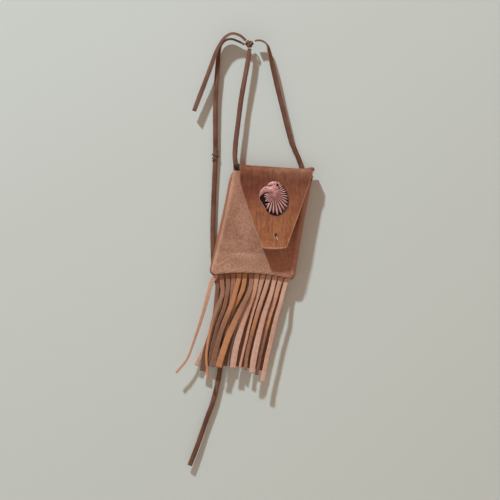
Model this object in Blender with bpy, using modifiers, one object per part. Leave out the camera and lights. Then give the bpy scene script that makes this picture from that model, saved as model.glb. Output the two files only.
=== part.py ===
"""A small fringed leather medicine bag on a neck lace, as it hangs from a peg.

Metres, +Z up. The front of the bag faces -Y and +X is to the viewer's right. The origin is
where the crown of the neck lace rests on the peg. The bag hangs below it, leaning a little.
"""

from math import pi, radians, tan

import bmesh
import bpy
import numpy as np

# Leather
LEATHER = 0.0015  # thickness of the bag's leather
FRINGE_LEATHER = 0.0012
GAP = 0.0003  # clearance between neighbours that touch

# Pouch, seen from the front
FOLD_LEFT = -0.0248  # x of the pouch's top left corner
FOLD_HEIGHT = -0.1226  # z of the fold's crown at that corner
FOLD_SLOPE = radians(3.0)  # the fold falls to the right
TOP_WIDTH = 0.0788
BOTTOM_WIDTH = 0.0837
POUCH_HEIGHT = 0.1108  # from the fold's crown to the bottom seam, at the sides
LEAN = 0.0247  # how far left the bottom left corner hangs
WAIST_LEFT = 0.0017  # how far each side is drawn in at half height
WAIST_RIGHT = 0.0010
BOTTOM_ARCH = 0.0045  # how far the bottom seam rises at its middle
CORNER_LEFT = 0.0075
CORNER_RIGHT = 0.0055

# Pouch, seen from the side
FRONT_MOUTH_DEPTH = 0.0039  # from the seam's plane to the outside of the leather
FRONT_BELLY = 0.0036
FRONT_BOTTOM_FULLNESS = 0.0018
BACK_MOUTH_DEPTH = 0.0036
BACK_BELLY = 0.0016
BACK_FULL_AT = 0.22  # share of the height at which the back reaches its full depth
FRONT_FULL_AT = 0.55  # share of the front's height, below its mouth
FRONT_BOTTOM_AT = 0.6  # where the belly starts to fall in again
FRONT_SIDE_FULLNESS = 0.8  # of the belly's, beside the seams
ROLL = 0.0040  # width of the rounded edge beside a seam
TURN_RADIUS = 0.0018  # outside radius where the leather turns in to the seam
SEAM_ALLOWANCE = 0.0032
SEAM_OPENS_AT = (0.84, 0.92)  # shares down between which the seams open to hold the fringe
EDGE_ROLLS_AT = (0.05, 0.16)  # shares down between which the back's edges roll in
MOUTH_DROP = 0.0062  # from the fold's crown down to the front's top edge

# Flap
FLAP_INSET = 0.0053  # from the pouch's top left corner to the flap's left end on the fold
FLAP_LENGTH = 0.0836  # from the fold's crown to the tip
FLAP_TIP_SHIFT = 0.0230  # from the flap's left end on the fold to the left end of its tip
FLAP_TIP_WIDTH = 0.0237
FLAP_SHOULDER = 0.0125  # the left edge drops straight this far before it slants
FLAP_LEFT_CURVE = 1.25  # powers that bow the side edges outwards
FLAP_RIGHT_CURVE = 1.1
FLAP_CLEARANCE = 0.0004
FLAP_LIFT = 0.0092  # how far the left end of the tip stands off the front
FLAP_LIFT_RIGHT = 0.0070  # the same at the tip's right end
FLAP_LIFT_CURVE = 1.6  # power of the lift's growth towards the tip
SLIT_FROM_TIP = (0.0137, 0.0109)  # right of the tip's left end, and above the tip
SLIT_LENGTH = 0.0078
SLIT_WIDTH = 0.0011
SLIT_LEAN = radians(22)

# Cast eagle head button
BUTTON_FROM_FOLD = (0.0335, 0.0342)  # right of the flap's left end, and below the crown
BUTTON_PLATE = 0.0013  # thickness at the rim
BUTTON_RELIEF = 0.0034  # height of the head above the rim
BUTTON_FEATHERS = 17
FEATHER_DEPTH = 0.0006
RELIEF_RINGS = (0.10, 0.35, 0.58, 0.78, 0.92)  # shares of the outline
RELIEF_CURVE = 2.4  # power of the share in the relief's fall towards the rim
NECK_SIDE = radians(-62)  # the neck lies this way from the button's middle
NECK_SPREAD = (-0.25, 0.15)  # cosines between which the feathers fade out
BUTTON_PEG_RADIUS = 0.0013  # the peg behind the button goes through the flap
BUTTON_HOLE_CLEARANCE = 0.0003
BUTTON_OUTLINE = (
    (-0.0140, 0.0014), (-0.0138, 0.0052), (-0.0122, 0.0089), (-0.0090, 0.0116),
    (-0.0064, 0.0128), (-0.0042, 0.0158), (0.0002, 0.0174), (0.0048, 0.0170),
    (0.0092, 0.0140), (0.0130, 0.0086), (0.0148, 0.0026), (0.0156, -0.0028),
    (0.0146, -0.0084), (0.0112, -0.0138), (0.0050, -0.0172), (-0.0012, -0.0164),
    (-0.0062, -0.0128), (-0.0094, -0.0078), (-0.0118, -0.0040), (-0.0136, -0.0012),
)

# Fringe: two cut strips sewn into the bottom seam, one in front of the other
HEADER_INSIDE = 0.0030  # how far each strip reaches up into the seam
HEADER_BELOW = 0.0020  # how far below the seam the cuts start
HEADER_LEFT_INSET = 0.0028  # from the pouch's side to the strip's end
HEADER_RIGHT_INSET = 0.0035
SLIT_BETWEEN = 0.0007
FRINGE_LENGTH = 0.1000  # about the longest strand's drop
STRAND_ROWS = 13
STRAND_SETTLE = 0.14  # share of a strand over which its cut end turns square to its run
STRAND_STAND = (0.03, 0.28)  # shares of a strand between which it moves out to its layer
STRAND_TAPER = (0.1, 0.75)  # shares of a strand between which it narrows to its tip's width
# Each front strand from left to right: its drift to the right and its drop below the seam
# as shares of the fringe's length, the layer that its lower half hangs in, and its width
# at the tip as a share of the pitch.
FRONT_STRANDS = (
    (((-0.042, 0.09), (-0.091, 0.28), (-0.141, 0.45), (-0.224, 0.7),
      (-0.285, 0.85), (-0.390, 0.98)), 0.8, 0.50),
    (((0.010, 0.1), (0.010, 0.21), (-0.056, 0.38), (-0.114, 0.59),
      (-0.147, 0.82), (-0.130, 1.04)), 2.6, 0.50),
    (((0.010, 0.12), (-0.030, 0.34), (-0.088, 0.5), (-0.132, 0.66),
      (-0.166, 0.8), (-0.192, 0.92)), 1.3, 0.67),
    (((0.000, 0.12), (-0.040, 0.34), (-0.100, 0.5), (-0.158, 0.68),
      (-0.188, 0.82), (-0.202, 0.93)), 0.0, 0.76),
    (((-0.003, 0.06), (-0.026, 0.15), (-0.072, 0.31), (-0.163, 0.54),
      (-0.232, 0.77), (-0.263, 0.94)), 1.3, 1.04),
    (((-0.016, 0.14), (-0.055, 0.24), (-0.147, 0.42), (-0.190, 0.6),
      (-0.218, 0.78), (-0.235, 0.92)), 0.0, 0.84),
    (((0.005, 0.08), (-0.018, 0.19), (-0.110, 0.38), (-0.217, 0.61),
      (-0.293, 0.83), (-0.324, 0.94)), 2.8, 1.24),
    (((-0.019, 0.15), (-0.058, 0.27), (-0.142, 0.5), (-0.203, 0.71),
      (-0.230, 0.85), (-0.241, 0.945)), 1.4, 1.24),
    (((-0.033, 0.15), (-0.076, 0.29), (-0.120, 0.45), (-0.164, 0.65),
      (-0.205, 0.82), (-0.232, 0.94)), 0.1, 0.57),
    (((-0.030, 0.13), (-0.074, 0.26), (-0.120, 0.41), (-0.172, 0.6),
      (-0.218, 0.8), (-0.235, 0.95)), 1.3, 0.74),
    (((-0.029, 0.15), (-0.067, 0.27), (-0.113, 0.41), (-0.173, 0.65),
      (-0.214, 0.85), (-0.228, 0.975)), 2.6, 1.21),
    (((-0.037, 0.15), (-0.074, 0.28), (-0.114, 0.41), (-0.168, 0.62),
      (-0.217, 0.85), (-0.240, 0.98)), 1.1, 0.74),
    (((-0.032, 0.13), (-0.068, 0.27), (-0.108, 0.41), (-0.162, 0.64),
      (-0.215, 0.88), (-0.243, 1.035)), 2.4, 0.91),
)
# The back strip's two leftmost strands, and the two kinds that the others alternate between.
BACK_STRANDS_LEFT = (
    (((-0.006, 0.1), (-0.020, 0.26), (-0.050, 0.48), (-0.110, 0.68),
      (-0.164, 0.8), (-0.220, 0.915)), 1.2, 0.87),
    (((-0.008, 0.12), (-0.040, 0.3), (-0.098, 0.5), (-0.150, 0.66),
      (-0.194, 0.82), (-0.216, 0.975)), 0.0, 1.18),
)
BACK_RUN = ((-0.031, 0.14), (-0.073, 0.27), (-0.117, 0.42), (-0.168, 0.63), (-0.212, 0.82),
            (-0.228, 0.93))
BACK_PAIR = ((BACK_RUN, 1.2, 0.87), (BACK_RUN, 0.0, 0.87))
BACK_STRANDS = 12

# Neck lace: one long flat leather lace, threaded under the fold and knotted above
LACE_WIDTH = 0.0050
LACE_THICKNESS = 0.0017
KNOT_PLACE = (-0.0096, 0.0, -0.0020)
KNOT_SIZE = (0.0088, 0.0066, 0.0086)
LOOP_ROUTE = (
    (-0.0094, 0.0, -0.0066), (-0.0110, -0.0002, -0.0190), (-0.0145, -0.0005, -0.0380),
    (-0.0180, -0.0008, -0.0580), (-0.0205, -0.0009, -0.0780), (-0.0230, -0.0010, -0.0980),
    (-0.0240, -0.0013, -0.1110), (-0.0238, -0.0017, -0.1180), (-0.0224, -0.0015, -0.1250),
    (-0.0182, -0.0005, -0.1290), (-0.0110, -0.0004, -0.1288), (0.0000, -0.0004, -0.1288),
    (0.0140, -0.0004, -0.1293), (0.0270, -0.0004, -0.1300), (0.0340, -0.0002, -0.1308),
    (0.0386, 0.0014, -0.1324), (0.0412, 0.0044, -0.1322), (0.0428, 0.0066, -0.1292),
    (0.0424, 0.0070, -0.1240),
    (0.0396, 0.0065, -0.1160), (0.0358, 0.0058, -0.1070), (0.0320, 0.0050, -0.0980),
    (0.0245, 0.0034, -0.0690), (0.0187, 0.0020, -0.0460), (0.0138, 0.0008, -0.0250),
    (0.0103, 0.0, -0.0100), (0.0084, 0.0, -0.0032), (0.0044, 0.0, 0.0006),
    (0.0, 0.0, 0.0017), (-0.0040, 0.0, 0.0012),
)
SHORT_TAIL_ROUTE = (
    (-0.0131, -0.0013, 0.0013), (-0.0190, -0.0020, 0.0062), (-0.0270, -0.0022, 0.0082),
    (-0.0350, -0.0018, 0.0035), (-0.0420, -0.0012, -0.0080), (-0.0475, -0.0006, -0.0230),
    (-0.0535, 0.0, -0.0390), (-0.0595, 0.0006, -0.0545), (-0.0650, 0.0010, -0.0690),
)
LONG_TAIL_ROUTE = (
    (-0.0146, 0.0018, -0.0024), (-0.0200, 0.0026, 0.0006), (-0.0280, 0.0034, 0.0034),
    (-0.0352, 0.0038, 0.0010), (-0.0398, 0.0040, -0.0080), (-0.0420, 0.0044, -0.0330),
    (-0.0435, 0.0048, -0.0580), (-0.0437, 0.0052, -0.0850), (-0.0437, 0.0056, -0.1130),
    (-0.0446, 0.0060, -0.1360), (-0.0455, 0.0064, -0.1580), (-0.0464, 0.0067, -0.1880),
    (-0.0460, 0.0070, -0.2100), (-0.0452, 0.0073, -0.2240), (-0.0420, 0.0074, -0.2400),
    (-0.0386, 0.0070, -0.2600), (-0.0368, 0.0066, -0.2820), (-0.0370, 0.0062, -0.3080),
    (-0.0400, 0.0058, -0.3340), (-0.0455, 0.0054, -0.3580), (-0.0520, 0.0050, -0.3760),
    (-0.0575, 0.0048, -0.3920), (-0.0632, 0.0046, -0.4080), (-0.0695, 0.0044, -0.4240),
)
CORD_POINT_SPACING = 2.0  # in diameters
LACE_HOLE_FROM_END = 0.0138  # from the fold's right end to the hole's middle
LACE_HOLE_BELOW_CROWN = 0.0066
LACE_HOLE_CLEARANCE = 0.0016
LACE_HOLE_STRETCH = 1.5  # the hole is drawn out sideways, as the lace pulls it

# Thin thong wound round the long tail, with two short ends
TIE_PLACE = -0.1135  # z of its middle
TIE_RADIUS = 0.0005
TIE_TURNS = 1.5
TIE_RISE = 0.0060
TIE_END = (0.0032, 0.0, 0.0018)

# Worked out from the sizes above
FLAP_LEFT = FOLD_LEFT + FLAP_INSET
FLAP_RIGHT = FOLD_LEFT + TOP_WIDTH
FLAP_TIP_LEFT = FLAP_LEFT + FLAP_TIP_SHIFT
FLAP_TIP_HEIGHT = FOLD_HEIGHT - FLAP_LENGTH
SLIT_PLACE = (FLAP_TIP_LEFT + SLIT_FROM_TIP[0], FLAP_TIP_HEIGHT + SLIT_FROM_TIP[1])
BUTTON_PLACE = (FLAP_LEFT + BUTTON_FROM_FOLD[0], FOLD_HEIGHT - BUTTON_FROM_FOLD[1])
FRINGE_LEFT = FOLD_LEFT - LEAN + HEADER_LEFT_INSET
FRINGE_PITCH = (BOTTOM_WIDTH - HEADER_LEFT_INSET - HEADER_RIGHT_INSET) / len(FRONT_STRANDS)
STRAND_LAYER = FRINGE_LEATHER + GAP
FOLD_FRONT = FRONT_MOUTH_DEPTH + FLAP_CLEARANCE + LEATHER
FOLD_RADIUS = (BACK_MOUTH_DEPTH + FOLD_FRONT) / 2
FOLD_CENTRE_Y = (BACK_MOUTH_DEPTH - FOLD_FRONT) / 2
FOLD_DOWN = FOLD_RADIUS / POUCH_HEIGHT  # share of the height that the fold takes
MOUTH_DOWN = MOUTH_DROP / POUCH_HEIGHT
SIDE_HALF_GAP = GAP / 2
BOTTOM_HALF_GAP = FRINGE_LEATHER + 1.5 * GAP
LACE_RADIUS = (LACE_WIDTH * LACE_THICKNESS / pi) ** 0.5  # of a round cord of equal section
CUT_DEPTH = 6 * LEATHER

part_objects = bpy.data.collections.new("medicine_bag")
cutters = bpy.data.collections.new("cutters")


def clear_scene():
    for obj in list(bpy.data.objects):
        bpy.data.objects.remove(obj)
    bpy.context.scene.collection.children.link(part_objects)
    bpy.context.scene.collection.children.link(cutters)


def finish(name, colour, roughness, metallic=0.0):
    """A plain material in the piece's own colour."""
    material = bpy.data.materials.new(name)
    material.use_nodes = True
    shader = material.node_tree.nodes["Principled BSDF"]
    shader.inputs["Base Color"].default_value = (*colour, 1.0)
    shader.inputs["Roughness"].default_value = roughness
    shader.inputs["Metallic"].default_value = metallic
    return material


def add_piece(name, mesh, material):
    piece = bpy.data.objects.new(name, mesh)
    mesh.materials.append(material)
    part_objects.objects.link(piece)
    return piece


def grid_mesh(name, x, y, z, faces_front):
    """An open sheet through the points of three equal arrays, whose outside faces -Y or +Y."""
    rows, columns = x.shape
    points = np.stack([x, y, z], axis=-1).reshape(-1, 3)
    corner = np.arange(rows * columns).reshape(rows, columns)
    faces = np.stack(
        [corner[:-1, :-1], corner[:-1, 1:], corner[1:, 1:], corner[1:, :-1]], axis=-1
    )
    if faces_front:
        faces = faces[..., ::-1]
    mesh = bpy.data.meshes.new(name)
    mesh.from_pydata(points.tolist(), [], faces.reshape(-1, 4).tolist())
    return mesh


def thicken(piece, thickness, offset=-1):
    """Give an open sheet its wall, inwards from its outside, or to both sides at offset 0."""
    wall = piece.modifiers.new("wall", "SOLIDIFY")
    wall.thickness = thickness
    wall.offset = offset
    wall.use_even_offset = True
    wall.use_quality_normals = True


def smooth_step(value, low, high):
    share = np.clip((value - low) / (high - low), 0, 1)
    return share * share * (3 - 2 * share)


def smooth_route(points, count):
    """Evenly spread points on a Catmull-Rom curve through the given ones."""
    route = np.array(points, float)
    padded = np.vstack([2 * route[0] - route[1], route, 2 * route[-1] - route[-2]])
    dense = []
    for before, start, end, after in zip(padded, padded[1:], padded[2:], padded[3:]):
        u = np.linspace(0, 1, 24, endpoint=False)[:, None]
        dense.append(
            0.5 * (2 * start + (end - before) * u
                   + (2 * before - 5 * start + 4 * end - after) * u**2
                   + (3 * start - before - 3 * end + after) * u**3)
        )
    dense = np.vstack([*dense, route[-1:]])
    along = np.concatenate([[0], np.cumsum(np.linalg.norm(np.diff(dense, axis=0), axis=1))])
    at = np.linspace(0, along[-1], count)
    return np.stack([np.interp(at, along, dense[:, k]) for k in range(dense.shape[1])], axis=1)


def route_length(points):
    return float(np.linalg.norm(np.diff(smooth_route(points, 400), axis=0), axis=1).sum())


# The pouch's outline. "down" is 0 at the fold's crown and 1 at the bottom seam.


def crown_height(x):
    return FOLD_HEIGHT - (x - FOLD_LEFT) * tan(FOLD_SLOPE)


def left_side(down):
    return FOLD_LEFT - LEAN * down + WAIST_LEFT * np.sin(pi * down)


def right_side(down):
    lean = LEAN - (BOTTOM_WIDTH - TOP_WIDTH)
    return FOLD_LEFT + TOP_WIDTH - lean * down - WAIST_RIGHT * np.sin(pi * down)


def across_share(x, down):
    return np.clip((x - left_side(down)) / (right_side(down) - left_side(down)), 0, 1)


def place_in_outline(across, down):
    """x and z at a share across and a share down."""
    x = left_side(down) + (right_side(down) - left_side(down)) * across
    top = crown_height(FOLD_LEFT + TOP_WIDTH * across)
    drop = POUCH_HEIGHT - BOTTOM_ARCH * 4 * across * (1 - across)
    return x, top - drop * down


def front_depth(across, down):
    """How far the front's outside stands off the seam's plane, away from its rolled edges."""
    below_mouth = (down - MOUTH_DOWN) / (1 - MOUTH_DOWN)
    swell = smooth_step(below_mouth, 0, FRONT_FULL_AT)
    bottom = smooth_step(below_mouth, FRONT_BOTTOM_AT, 1)
    middle = FRONT_SIDE_FULLNESS + (1 - FRONT_SIDE_FULLNESS) * 4 * across * (1 - across)
    fullness = FRONT_BELLY * (1 - bottom) + FRONT_BOTTOM_FULLNESS * bottom
    return FRONT_MOUTH_DEPTH + fullness * swell * middle


def back_depth(across, down):
    """The same for the back's outside, which is flat across."""
    return BACK_MOUTH_DEPTH + BACK_BELLY * smooth_step(down, FOLD_DOWN, BACK_FULL_AT)


def rolled_edge():
    """Insets, lowest heights and rises of the edge's rings, from the allowance to the face.

    The leather lies along the seam, turns outwards round a small radius, and swells to
    the panel's face along a quarter of an ellipse.
    """
    turn = np.radians([0, 45, 90])
    swell = np.radians([25, 52, 90])
    inset = [SEAM_ALLOWANCE, *TURN_RADIUS * (1 - np.sin(turn)), *ROLL * (1 - np.cos(swell))]
    height = [0, *TURN_RADIUS * (1 - np.cos(turn)), *[TURN_RADIUS] * 3]
    rise = [0, 0, 0, 0, *np.sin(swell)]
    return np.array(inset), np.array(height), np.array(rise)


def never_flat(down):
    return 0 * down


def opened(inset, height, flat):
    """Insets and heights of an edge's rings, from its end inwards, opened by a share.

    Going outwards from the last ring, each step turns less by that share, until the sheet
    lies flat, and the steps shrink until together they reach just to the seam's line.
    """
    out = -np.diff(inset[:, ::-1], axis=1)
    drop = np.abs(np.diff(height[:, ::-1], axis=1))
    step = np.hypot(out, drop)
    fit = inset[:, -1:] / step.sum(axis=1, keepdims=True)
    step = step * (1 + (fit - 1) * flat)
    turn = np.arctan2(drop, out) * (1 - flat)
    inset[:, :-1] = inset[:, -1:] - np.cumsum(step * np.cos(turn), axis=1)[:, ::-1]
    height[:, :-1] = height[:, -1:] - np.cumsum(step * np.sin(turn), axis=1)[:, ::-1]
    return inset, height


def panel(first_down, inner_columns, inner_rows, depth_of, flat_of=never_flat):
    """x, z, height off the seam's plane and share down of one panel's outside.

    Columns run from the left seam to the right one and rows from the mouth to the bottom.
    The outermost rings follow rolled_edge, also round the bottom corners.
    """
    inset, height, rise = rolled_edge()
    rings = len(inset)
    columns = 2 * rings + inner_columns
    rows = rings + inner_rows
    column, row = np.meshgrid(np.arange(columns), np.arange(rows))
    from_left = column
    from_right = columns - 1 - column
    from_bottom = rows - 1 - row
    side = np.minimum(from_left, from_right)
    on_left = from_left <= from_right
    radius = np.where(on_left, CORNER_LEFT, CORNER_RIGHT)
    ring = np.minimum(np.minimum(side, from_bottom), rings)
    ring_inset = np.append(inset, 0)[ring]
    ring_inset = np.where(ring == rings, radius, ring_inset)

    # Inside a corner the rings are arcs, and elsewhere they run along the sides.
    far = np.maximum(side, from_bottom)
    in_corner = (side < rings) & (from_bottom < rings)
    turned = np.radians(45) * (rings - far) / np.maximum(rings - ring, 1)
    near_inset = radius - (radius - ring_inset) * np.cos(turned)
    far_inset = radius - (radius - ring_inset) * np.sin(turned)
    side_inset = np.append(inset, 0)[np.minimum(side, rings)]
    side_inset = np.where(side >= rings, radius, side_inset)
    side_inset = np.where(in_corner, np.where(side <= from_bottom, near_inset, far_inset),
                          side_inset)
    bottom_inset = np.append(inset, 0)[np.minimum(from_bottom, rings)]
    bottom_inset = np.where(from_bottom >= rings, radius, bottom_inset)
    bottom_inset = np.where(in_corner, np.where(side <= from_bottom, far_inset, near_inset),
                            bottom_inset)

    last_inner = 1 - bottom_inset / POUCH_HEIGHT
    inner_down = (rows - 1 - rings - row) / (inner_rows - 1)
    down = np.where(from_bottom >= rings,
                    last_inner + (first_down - last_inner) * inner_down, last_inner)
    seam = SIDE_HALF_GAP + (BOTTOM_HALF_GAP - SIDE_HALF_GAP) * smooth_step(down, *SEAM_OPENS_AT)
    width = right_side(down) - left_side(down)
    left_share = CORNER_LEFT / width
    right_share = 1 - CORNER_RIGHT / width
    inner_across = left_share + (right_share - left_share) * (column - rings) / (inner_columns - 1)
    across = np.where(on_left, side_inset / width, 1 - side_inset / width)
    across = np.where(side >= rings, inner_across, across)
    low = np.append(height, TURN_RADIUS)[ring] + seam
    full = depth_of(across, down) - TURN_RADIUS - seam
    depth = low + np.append(rise, 1)[ring] * full

    above = from_bottom[:, 0] >= rings
    for edge in (np.s_[above, : rings + 1], np.s_[above, : -rings - 2 : -1]):
        inset = np.minimum(across[edge], 1 - across[edge]) * width[edge]
        inset, height = opened(inset, depth[edge], flat_of(down[edge])[:, :1])
        depth[edge] = np.maximum(height, seam[edge])
        share = inset / width[edge]
        across[edge] = np.where(on_left[edge], share, 1 - share)
    x, z = place_in_outline(across, down)
    return x, z, depth, down


def make_pouch_front(leather):
    """The front panel: its sides and bottom are turned in to the seams."""
    x, z, height, _ = panel(MOUTH_DOWN, 9, 11, front_depth)
    piece = add_piece("pouch_front", grid_mesh("pouch_front", x, -height, z, True), leather)
    thicken(piece, LEATHER)


def back_flatness(down):
    """The back's edges are rolled in at the seams, and a plain cut sheet beside the fold."""
    return 1 - smooth_step(down, *EDGE_ROLLS_AT)


def fold_turns():
    """Angles of the rows over one half of the fold, from beside its crown to near its end."""
    beside_crown = GAP / FOLD_RADIUS
    return np.array([beside_crown, 1.4 * beside_crown, *np.radians([22, 44, 66])])[:, None]


def make_pouch_back(leather):
    """The back panel, with the rear half of the fold at its top."""
    x, z, height, _ = panel(FOLD_DOWN, 9, 10, back_depth, back_flatness)

    # Rows over the rear half of the fold, from its crown down to the panel.
    turn = fold_turns()
    left = FLAP_LEFT + (x[0, 0] - FLAP_LEFT) * np.sin(turn) ** 2
    right = FLAP_RIGHT + (x[0, -1] - FLAP_RIGHT) * np.sin(turn) ** 2
    fold_x = left + (right - left) * (x[0] - x[0, 0]) / (x[0, -1] - x[0, 0])
    fold_y = FOLD_CENTRE_Y + FOLD_RADIUS * np.sin(turn) + 0 * fold_x
    fold_z = crown_height(fold_x) - FOLD_RADIUS * (1 - np.cos(turn))
    x = np.vstack([fold_x, x])
    y = np.vstack([fold_y, height])
    z = np.vstack([fold_z, z])
    piece = add_piece("pouch_back", grid_mesh("pouch_back", x, y, z, False), leather)
    thicken(piece, LEATHER)
    cut(piece, lace_hole_cutter())


def flap_edges(share):
    """x of the flap's left and right edges at a share of the way from the fold to the tip."""
    shoulder = FLAP_SHOULDER / FLAP_LENGTH
    slant = np.clip((share - shoulder) / (1 - shoulder), 0, 1)
    left = FLAP_LEFT + (FLAP_TIP_LEFT - FLAP_LEFT) * slant**FLAP_LEFT_CURVE
    tip_right = FLAP_TIP_LEFT + FLAP_TIP_WIDTH
    right = FLAP_RIGHT + (tip_right - FLAP_RIGHT) * share**FLAP_RIGHT_CURVE
    return left, right


def flap_outside(x, z):
    """y of the flap's outer face where it hangs over the front."""
    down = np.clip((crown_height(x) - z) / POUCH_HEIGHT, 0, 1)
    hang = np.clip((crown_height(x) - FOLD_RADIUS - z) / FLAP_LENGTH, 0, 1)
    across = across_share(x, down)
    stand_off = front_depth(across, down) - FRONT_MOUTH_DEPTH
    lift = FLAP_LIFT + (FLAP_LIFT_RIGHT - FLAP_LIFT) * across
    return -(FOLD_FRONT + stand_off + lift * hang**FLAP_LIFT_CURVE)


def make_flap(leather):
    """The flap from the fold's crown to its tip, with its slit and the button's hole."""
    across = np.linspace(0, 1, 11)
    turn = fold_turns()
    hang = np.linspace(0, 1, 14)[:, None]
    fold_share = 0.5 * FOLD_RADIUS / FLAP_LENGTH
    share = np.vstack([np.sin(turn) * fold_share, fold_share + (1 - fold_share) * hang])
    left, right = flap_edges(share)
    x = left + (right - left) * across
    over = x[: len(turn)]
    top_y = FOLD_CENTRE_Y - FOLD_RADIUS * np.sin(turn) + 0 * over
    top_z = crown_height(over) - FOLD_RADIUS * (1 - np.cos(turn))
    below = x[len(turn):]
    start = crown_height(below) - FOLD_RADIUS
    below_z = start + (FLAP_TIP_HEIGHT - start) * hang
    y = np.vstack([top_y, flap_outside(below, below_z)])
    z = np.vstack([top_z, below_z])
    piece = add_piece("flap", grid_mesh("flap", x, y, z, True), leather)
    thicken(piece, LEATHER)
    cut(piece, slit_cutter())
    cut(piece, button_hole_cutter())


def cut(piece, cutter):
    cutter.hide_render = True
    cutter.display_type = "WIRE"
    hole = piece.modifiers.new(cutter.name, "BOOLEAN")
    hole.operation = "DIFFERENCE"
    hole.object = cutter


def bar_cutter(name, place, width, height, lean=0.0):
    """A bar along Y through a wall, elliptical in section, centred on a place."""
    shape = bmesh.new()
    bmesh.ops.create_cone(shape, cap_ends=True, segments=16, radius1=0.5, radius2=0.5, depth=1)
    mesh = bpy.data.meshes.new(name)
    shape.to_mesh(mesh)
    shape.free()
    bar = bpy.data.objects.new(name, mesh)
    bar.location = place
    bar.rotation_euler = (pi / 2, -lean, 0)
    bar.scale = (width, height, CUT_DEPTH)
    cutters.objects.link(bar)
    return bar


def slit_cutter():
    x, z = SLIT_PLACE
    return bar_cutter("flap_slit", (x, flap_outside(x, z), z), SLIT_WIDTH, SLIT_LENGTH, SLIT_LEAN)


def button_hole_cutter():
    x, z = BUTTON_PLACE
    width = 2 * (BUTTON_PEG_RADIUS + BUTTON_HOLE_CLEARANCE)
    return bar_cutter("button_hole", (x, flap_outside(x, z), z), width, width)


def lace_hole_cutter():
    """The hole near the right end of the fold, where the lace passes the back's wall."""
    x = FLAP_RIGHT - LACE_HOLE_FROM_END
    z = crown_height(x) - LACE_HOLE_BELOW_CROWN
    height = 2 * (LACE_RADIUS + LACE_HOLE_CLEARANCE)
    place = (x, BACK_MOUTH_DEPTH - LEATHER / 2, z)
    return bar_cutter("lace_hole", place, LACE_HOLE_STRETCH * height, height)


def make_eagle_button(metal):
    """A cast head in low relief, facing left, on a thin plate that follows the flap.

    Rings of one outline run from the middle of the relief out to the rim and back behind
    the plate, to the foot of the peg and to its end.
    """
    count = 4 * BUTTON_FEATHERS
    outline = smooth_route((*BUTTON_OUTLINE, BUTTON_OUTLINE[0]), count + 1)[:-1]
    angle = np.unwrap(np.arctan2(outline[:, 1], outline[:, 0]))
    on_neck = smooth_step(np.cos(angle - NECK_SIDE), *NECK_SPREAD)
    groove = 0.5 - 0.5 * np.cos(angle * BUTTON_FEATHERS)
    rings = []
    for share in RELIEF_RINGS:
        swell = BUTTON_RELIEF * (1 - share**RELIEF_CURVE)
        ridge = FEATHER_DEPTH * groove * on_neck * smooth_step(share, *RELIEF_RINGS[:4:3])
        rings.append((outline * share, BUTTON_PLATE + swell - ridge))
    peg = BUTTON_PEG_RADIUS * np.stack([np.cos(angle), np.sin(angle)], axis=1)
    rings += [(outline, BUTTON_PLATE), (outline, 0), (peg, 0), (peg, -LEATHER)]

    points = []
    for ring, height in rings:
        x, z = (BUTTON_PLACE + ring).T
        points.append(np.stack([x, flap_outside(x, z) - GAP - height, z], axis=1))
    add_piece("eagle_button", loft("eagle_button", np.array(points)), metal)


def loft(name, rings):
    """A closed solid through rings of equally many points, with a flat cap at each end."""
    count = rings.shape[1]
    shape = bmesh.new()
    rows = [[shape.verts.new(point) for point in ring] for ring in rings]
    for low, high in zip(rows, rows[1:]):
        for k in range(count):
            after = (k + 1) % count
            shape.faces.new((low[k], low[after], high[after], high[k]))
    for row in (rows[0], rows[-1]):
        shape.faces.new(row)
    bmesh.ops.recalc_face_normals(shape, faces=shape.faces)
    mesh = bpy.data.meshes.new(name)
    shape.to_mesh(mesh)
    shape.free()
    return mesh


def make_fringe(name, strands, left_end, y_seam, outwards, leather):
    """One cut strip: a header held in the bottom seam, and its strands below.

    Each strand is a ribbon of two edges about a smooth run. It starts square to the header,
    drifts as its points say, narrows to its tip and moves out to its own layer.
    """
    edges_x = [left_end + (k + side) * FRINGE_PITCH + SLIT_BETWEEN * (0.5 - side)
               for k in range(len(strands)) for side in (0, 1)]
    seam_z = [float(place_in_outline(across_share(x, 1.0), 1.0)[1]) for x in edges_x]
    points = []
    faces = []
    header = []
    for up in (HEADER_INSIDE, 0.0, -HEADER_BELOW):
        header.append(range(len(points), len(points) + len(edges_x)))
        points += [(x, y_seam, z + up) for x, z in zip(edges_x, seam_z)]
    for above, below in zip(header, header[1:]):
        faces += [(above[k], above[k + 1], below[k + 1], below[k]) for k in range(len(edges_x) - 1)]

    along = np.linspace(0, 1, STRAND_ROWS)[:, None]
    settle = smooth_step(along, 0, STRAND_SETTLE)
    taper = smooth_step(along, *STRAND_TAPER)
    stand = smooth_step(along, *STRAND_STAND)[:, 0]
    for k, (drift, layer, tip_share) in enumerate(strands):
        before = (header[-1][2 * k], header[-1][2 * k + 1])
        left, right = (np.array(points[corner])[[0, 2]] for corner in before)
        # The drift is measured from the seam, and the strand leaves the header below it.
        drift = np.array(drift) * FRINGE_LENGTH
        run = smooth_route([(0.0, HEADER_BELOW), *drift], STRAND_ROWS) * (1, -1)
        run += (left + right) / 2 + (0, HEADER_BELOW)
        slope = np.gradient(run, axis=0)
        slope /= np.linalg.norm(slope, axis=1, keepdims=True)
        top_width = right[0] - left[0]
        sideways = (right - left) / top_width * (1 - settle) + slope[:, ::-1] * (-1, 1) * settle
        half = (top_width + (tip_share * FRINGE_PITCH - top_width) * taper) / 2
        y = y_seam - outwards * layer * STRAND_LAYER * stand
        for row in range(1, STRAND_ROWS):
            now = (len(points), len(points) + 1)
            for hand in (-1, 1):
                x, z = run[row] + hand * half[row] * sideways[row]
                points.append((float(x), float(y[row]), float(z)))
            faces.append((before[0], before[1], now[1], now[0]))
            before = now
    mesh = bpy.data.meshes.new(name)
    mesh.from_pydata(points, [], faces)
    thicken(add_piece(name, mesh, leather), FRINGE_LEATHER, offset=0)


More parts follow.
